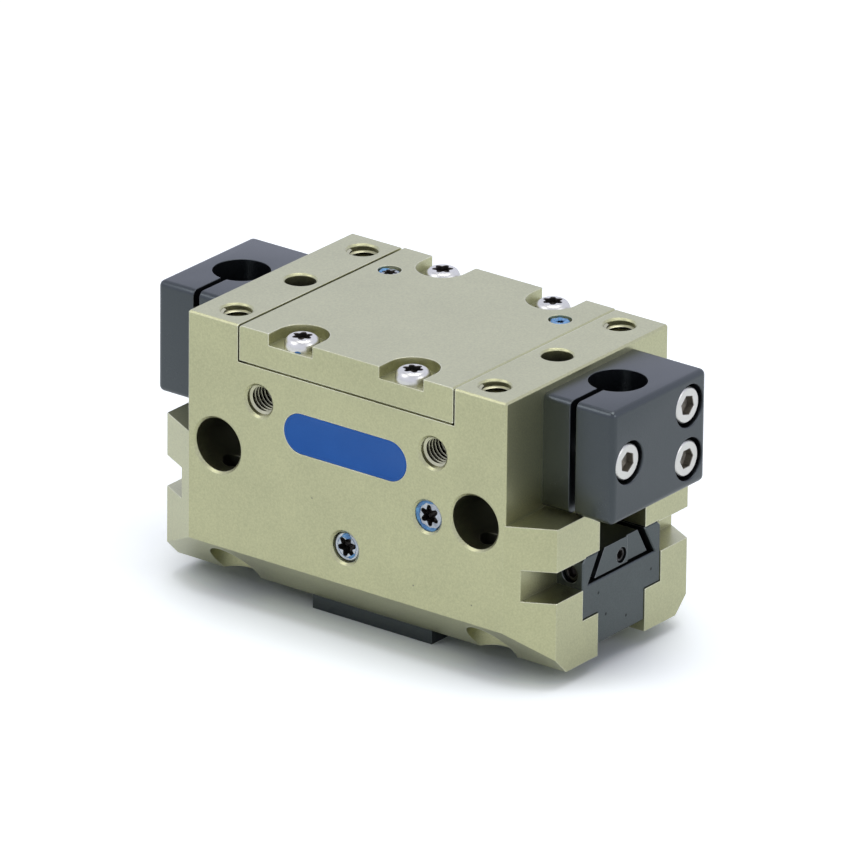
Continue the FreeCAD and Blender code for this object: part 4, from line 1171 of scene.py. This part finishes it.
@dataclass
class Threads:
    """Internal threads of the tapped holes that stand open."""

    rack: Rack
    mounts: dict[str, dict]
    steps: int = 40
    wall_bite: float = 0.03 * MM
    depth_share: float = 0.54
    crest_share: float = 0.34
    crest_band: float = 0.1
    root_share: float = 0.88
    lead_in: float = 0.35 * MM
    coarse_pitch: float = 0.8 * MM
    fine_pitch: float = 0.7 * MM
    port_depth: float = 6.4 * MM
    top_depth: float = 9.0 * MM
    finger_depth: float = 7.0 * MM

    def build(self) -> None:
        """Wind one thread for the ports, the top holes and the finger holes, and set copies in each."""
        port = self.mounts["air_port_right"]
        self.fill("port_thread", port["dims"]["r_mm"] * MM, self.coarse_pitch, self.port_depth, Slot.OLIVE, [
            (side.label, self.mouth(f"air_port_{side.label}"), Vector(port["axis"]), Body.GRIPPER)
            for side in Side
        ])
        top = self.mounts["top_bolts"]
        pitch = Vector((top["dims"]["spacing_x_mm"], top["dims"]["spacing_y_mm"], 0)) * MM / 2
        radius = top["dims"]["hole_r_mm"] * MM
        self.fill("top_thread", radius, self.coarse_pitch, self.top_depth, Slot.OLIVE, [
            (f"{side.label}_{name}", Vector(top["pos_m"]) + pitch * Vector((side.value, sign, 0)),
             Vector((0, 0, 1)), Body.GRIPPER)
            for side in Side for name, sign in (("front", -1), ("back", 1))
        ])
        finger = self.mounts["finger_bolts_right"]
        step = Vector((finger["dims"]["spacing_x_mm"] * MM / 2, 0, 0))
        radius = finger["dims"]["hole_r_mm"] * MM
        self.fill("finger_thread", radius, self.fine_pitch, self.finger_depth, Slot.JAW, [
            (f"{side.label}_{name}", Vector(self.mounts[f"finger_bolts_{side.label}"]["pos_m"]) + step * sign,
             Vector(finger["axis"]), Body.of_jaw(side))
            for side in Side for name, sign in (("inner", -side.value), ("outer", side.value))
        ])

    def mouth(self, name: str) -> Vector:
        """Give the middle of the mouth of a hole that a mount names."""
        mount = self.mounts[name]
        return Vector(mount["pos_m"]) + Vector(mount["axis"]) * mount["dims"]["length_mm"] * MM / 2

    def fill(
        self, name: str, radius: float, pitch: float, depth: float, slot: Slot,
        holes: Sequence[tuple[str, Vector, Vector, Body]],
    ) -> None:
        """Wind one ridge and set a copy of it in each hole of a kind.

        Args:
            name: Name of this kind of thread.
            radius: Radius of the hole's wall.
            pitch: Rise of one turn.
            depth: Depth of thread below the mouth.
            slot: Finish of the piece that carries the hole.
            holes: Name, middle of the mouth, way out and body of each hole.
        """
        first = self.ridge(radius, pitch, depth)
        for finish in (FLANK, CREST_SHADE):
            first.data.materials.append(self.rack.extra[finish.name])
        inset = self.lead_in + self.root_share * pitch / 2
        for place, mouth, out, body in holes:
            self.rack.set_copy(first, f"{name}_{place}", heading(mouth - out * inset, out), slot, body)
        Bench.discard(first)

    def ridge(self, radius: float, pitch: float, depth: float) -> bpy.types.Object:
        """Wind one ridge down the wall of a hole, from zero height."""
        crest = radius - self.depth_share * pitch
        ridge = Bench.start("thread", bpy.ops.mesh.primitive_plane_add, size=MM)
        half_root = self.root_share * pitch / 2
        half_crest = self.crest_share * pitch / 2
        section = ((radius + self.wall_bite, -half_root), (crest, -half_crest),
                   (crest, half_crest), (radius + self.wall_bite, half_root))
        loop = [ridge.data.vertices[index] for index in ridge.data.polygons[0].vertices]
        for vertex, (across, height) in zip(loop, section):
            vertex.co = (across, 0.0, height)
        with Bench.edit(ridge):
            bpy.ops.mesh.delete(type="ONLY_FACE")
        winding = ridge.modifiers.new("winding", "SCREW")
        winding.axis = "Z"
        winding.angle = FULL_TURN
        winding.screw_offset = -pitch
        winding.iterations = max(1, int(depth / pitch))
        winding.steps = self.steps
        winding.render_steps = self.steps
        winding.use_merge_vertices = True
        Bench.take(ridge)
        bpy.ops.object.modifier_apply(modifier=winding.name)
        with Bench.edit(ridge):
            bpy.ops.mesh.remove_doubles(threshold=MERGE_GAP)
            bpy.ops.mesh.select_all(action="DESELECT")
            bpy.ops.mesh.select_non_manifold()
            bpy.ops.mesh.fill_holes(sides=len(section))
            bpy.ops.mesh.select_all(action="SELECT")
            bpy.ops.mesh.normals_make_consistent(inside=False)
        limit = crest + self.crest_band * pitch
        for face in ridge.data.polygons:
            corners = [ridge.data.vertices[index].co for index in face.vertices]
            is_crest = all(math.hypot(corner.x, corner.y) < limit for corner in corners)
            angles = [math.atan2(corner.y, corner.x) for corner in corners]
            is_end = max(angles) - min(angles) < math.pi / self.steps
            # Crest faces and ridge ends take the dark second material, painted shade.
            face.material_index = int(is_crest or is_end)
        return ridge


@dataclass
class Lamp:
    """Soft box of the studio."""

    name: str
    spot: Spot
    size: float
    power: float
    aim: Spot = (0.0, 0.0, 0.02)

    def build(self) -> None:
        """Hang the lamp and turn it towards its aim."""
        lamp = Bench.start(self.name, bpy.ops.object.light_add, type="AREA", location=self.spot)
        lamp.data.shape = "DISK"
        lamp.data.size = self.size
        lamp.data.energy = self.power
        toward = Vector(self.aim) - Vector(self.spot)
        lamp.rotation_euler = toward.to_track_quat("-Z", "Y").to_euler()


@dataclass
class Studio:
    """Pale floor, soft light and the camera of the photograph."""

    floor_size: float = 6.0
    floor_colour: Colour = (0.88, 0.925, 0.945)
    floor_lift: float = 0.43
    floor_glow: float = 0.55
    floor_shade_reach: float = 0.03
    floor_shade_band: Point = (0.28, 0.74)
    floor_roughness: float = 0.9
    floor_specular: float = 0.1
    sky_colour: Colour = (0.87, 0.90, 1.08)
    sky_low: float = 1.0
    sky_high: float = 0.62
    sky_band: Point = (0.62, 0.92)
    sky_diffuse: float = 0.33
    camera_spot: Spot = (1.16506, -1.54420, 0.82514)
    camera_right: Spot = (0.79591121, 0.60533697, 0.00961739)
    camera_down: Spot = (0.23747352, -0.29754439, -0.92470193)
    lens: float = 563.3
    sensor: float = 36.0
    clip: Point = (0.05, 50.0)
    lamps: tuple[Lamp, ...] = (
        Lamp("key_box", (-0.55, -0.75, 0.95), size=0.70, power=2.6),
        Lamp("top_box", (0.05, 0.10, 1.10), size=0.80, power=5.0),
        Lamp("right_box", (1.05, 0.05, 0.55), size=0.60, power=2.0),
    )

    def build(self) -> None:
        """Set up floor, sky, lamps and camera."""
        bpy.context.scene.view_settings.view_transform = "Standard"
        self.lay_floor()
        self.paint_sky()
        for lamp in self.lamps:
            lamp.build()
        self.set_camera()

    def lay_floor(self) -> None:
        """Lay the pale floor, white to the eye in the open and dimmer to metal, shaded by the object, with a
        painted shadow where its glow fades near it.
        """
        floor = Bench.start("studio_floor", bpy.ops.mesh.primitive_plane_add, size=self.floor_size)
        graph = Graph("studio_floor")
        graph.set("Base Color", self.floor_colour)
        graph.set("Roughness", self.floor_roughness)
        graph.set("Specular IOR Level", self.floor_specular)
        path = graph.add("LightPath").outputs
        glow = graph.math("MULTIPLY", path["Is Glossy Ray"], self.floor_glow)
        seen = graph.math("MAXIMUM", path["Is Camera Ray"], glow)
        seen = graph.math("MAXIMUM", seen, path["Is Transmission Ray"])
        # The glow fades where the floor is occluded near the object: a painted shadow.
        shade = graph.add("AmbientOcclusion", Distance=self.floor_shade_reach)
        open_floor = graph.spread(shade.outputs["AO"], *self.floor_shade_band, 0.0, self.floor_lift)
        graph.set("Emission Color", WHITE)
        graph.set("Emission Strength", graph.math("MULTIPLY", seen, open_floor))
        floor.data.materials.append(graph.material)

    def paint_sky(self) -> None:
        """Paint the surroundings: white to the eye, shaded upwards in reflections, even for soft light."""
        world = bpy.data.worlds.new("studio_sky")
        bpy.context.scene.world = world
        world.use_nodes = True
        world.node_tree.nodes.clear()
        wiring = Wiring(world.node_tree)
        place = wiring.add("TexCoord").outputs["Generated"]
        height = wiring.add("SeparateXYZ", Vector=place).outputs["Z"]
        shade = wiring.spread(height, *self.sky_band, self.sky_low, self.sky_high)
        shade.node.interpolation_type = "SMOOTHSTEP"
        path = wiring.add("LightPath").outputs
        shine = wiring.blend(path["Is Glossy Ray"], self.sky_diffuse, shade)
        seen = wiring.math("MAXIMUM", path["Is Camera Ray"], path["Is Transmission Ray"])
        tint = wiring.mix(seen, self.sky_colour, WHITE)
        sky = wiring.add("Background", Color=tint, Strength=wiring.blend(seen, shine, 1.0))
        wiring.add("OutputWorld", Surface=sky.outputs["Background"])

    def set_camera(self) -> None:
        """Stand the camera where the photograph was taken."""
        camera = Bench.start("photo_camera", bpy.ops.object.camera_add)
        right = Vector(self.camera_right)
        up = -Vector(self.camera_down)
        back = right.cross(up)
        turn = Matrix((right, up, back)).transposed().to_4x4()
        camera.matrix_world = Matrix.Translation(Vector(self.camera_spot)) @ turn
        camera.data.lens = self.lens
        camera.data.sensor_width = self.sensor
        camera.data.clip_start, camera.data.clip_end = self.clip
        bpy.context.scene.camera = camera


def main() -> None:
    """Build the dressed gripper and its studio."""
    logging.basicConfig(level=logging.INFO, format="%(name)s: %(message)s")
    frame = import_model()
    rack = Rack()
    rack.fill()
    rack.dress_nodes(frame["nodes"])
    CoverScrews(rack).build()
    Brackets(rack).build()
    CapScrews(rack).build()
    SetScrews(rack).build()
    Plugs(rack).build()
    BaseScrews(rack).build()
    NamePlate(rack).build()
    Threads(rack, {mount["name"]: mount for mount in frame["record"]["mounts"]}).build()
    Studio().build()


if __name__ == "__main__":
    main()
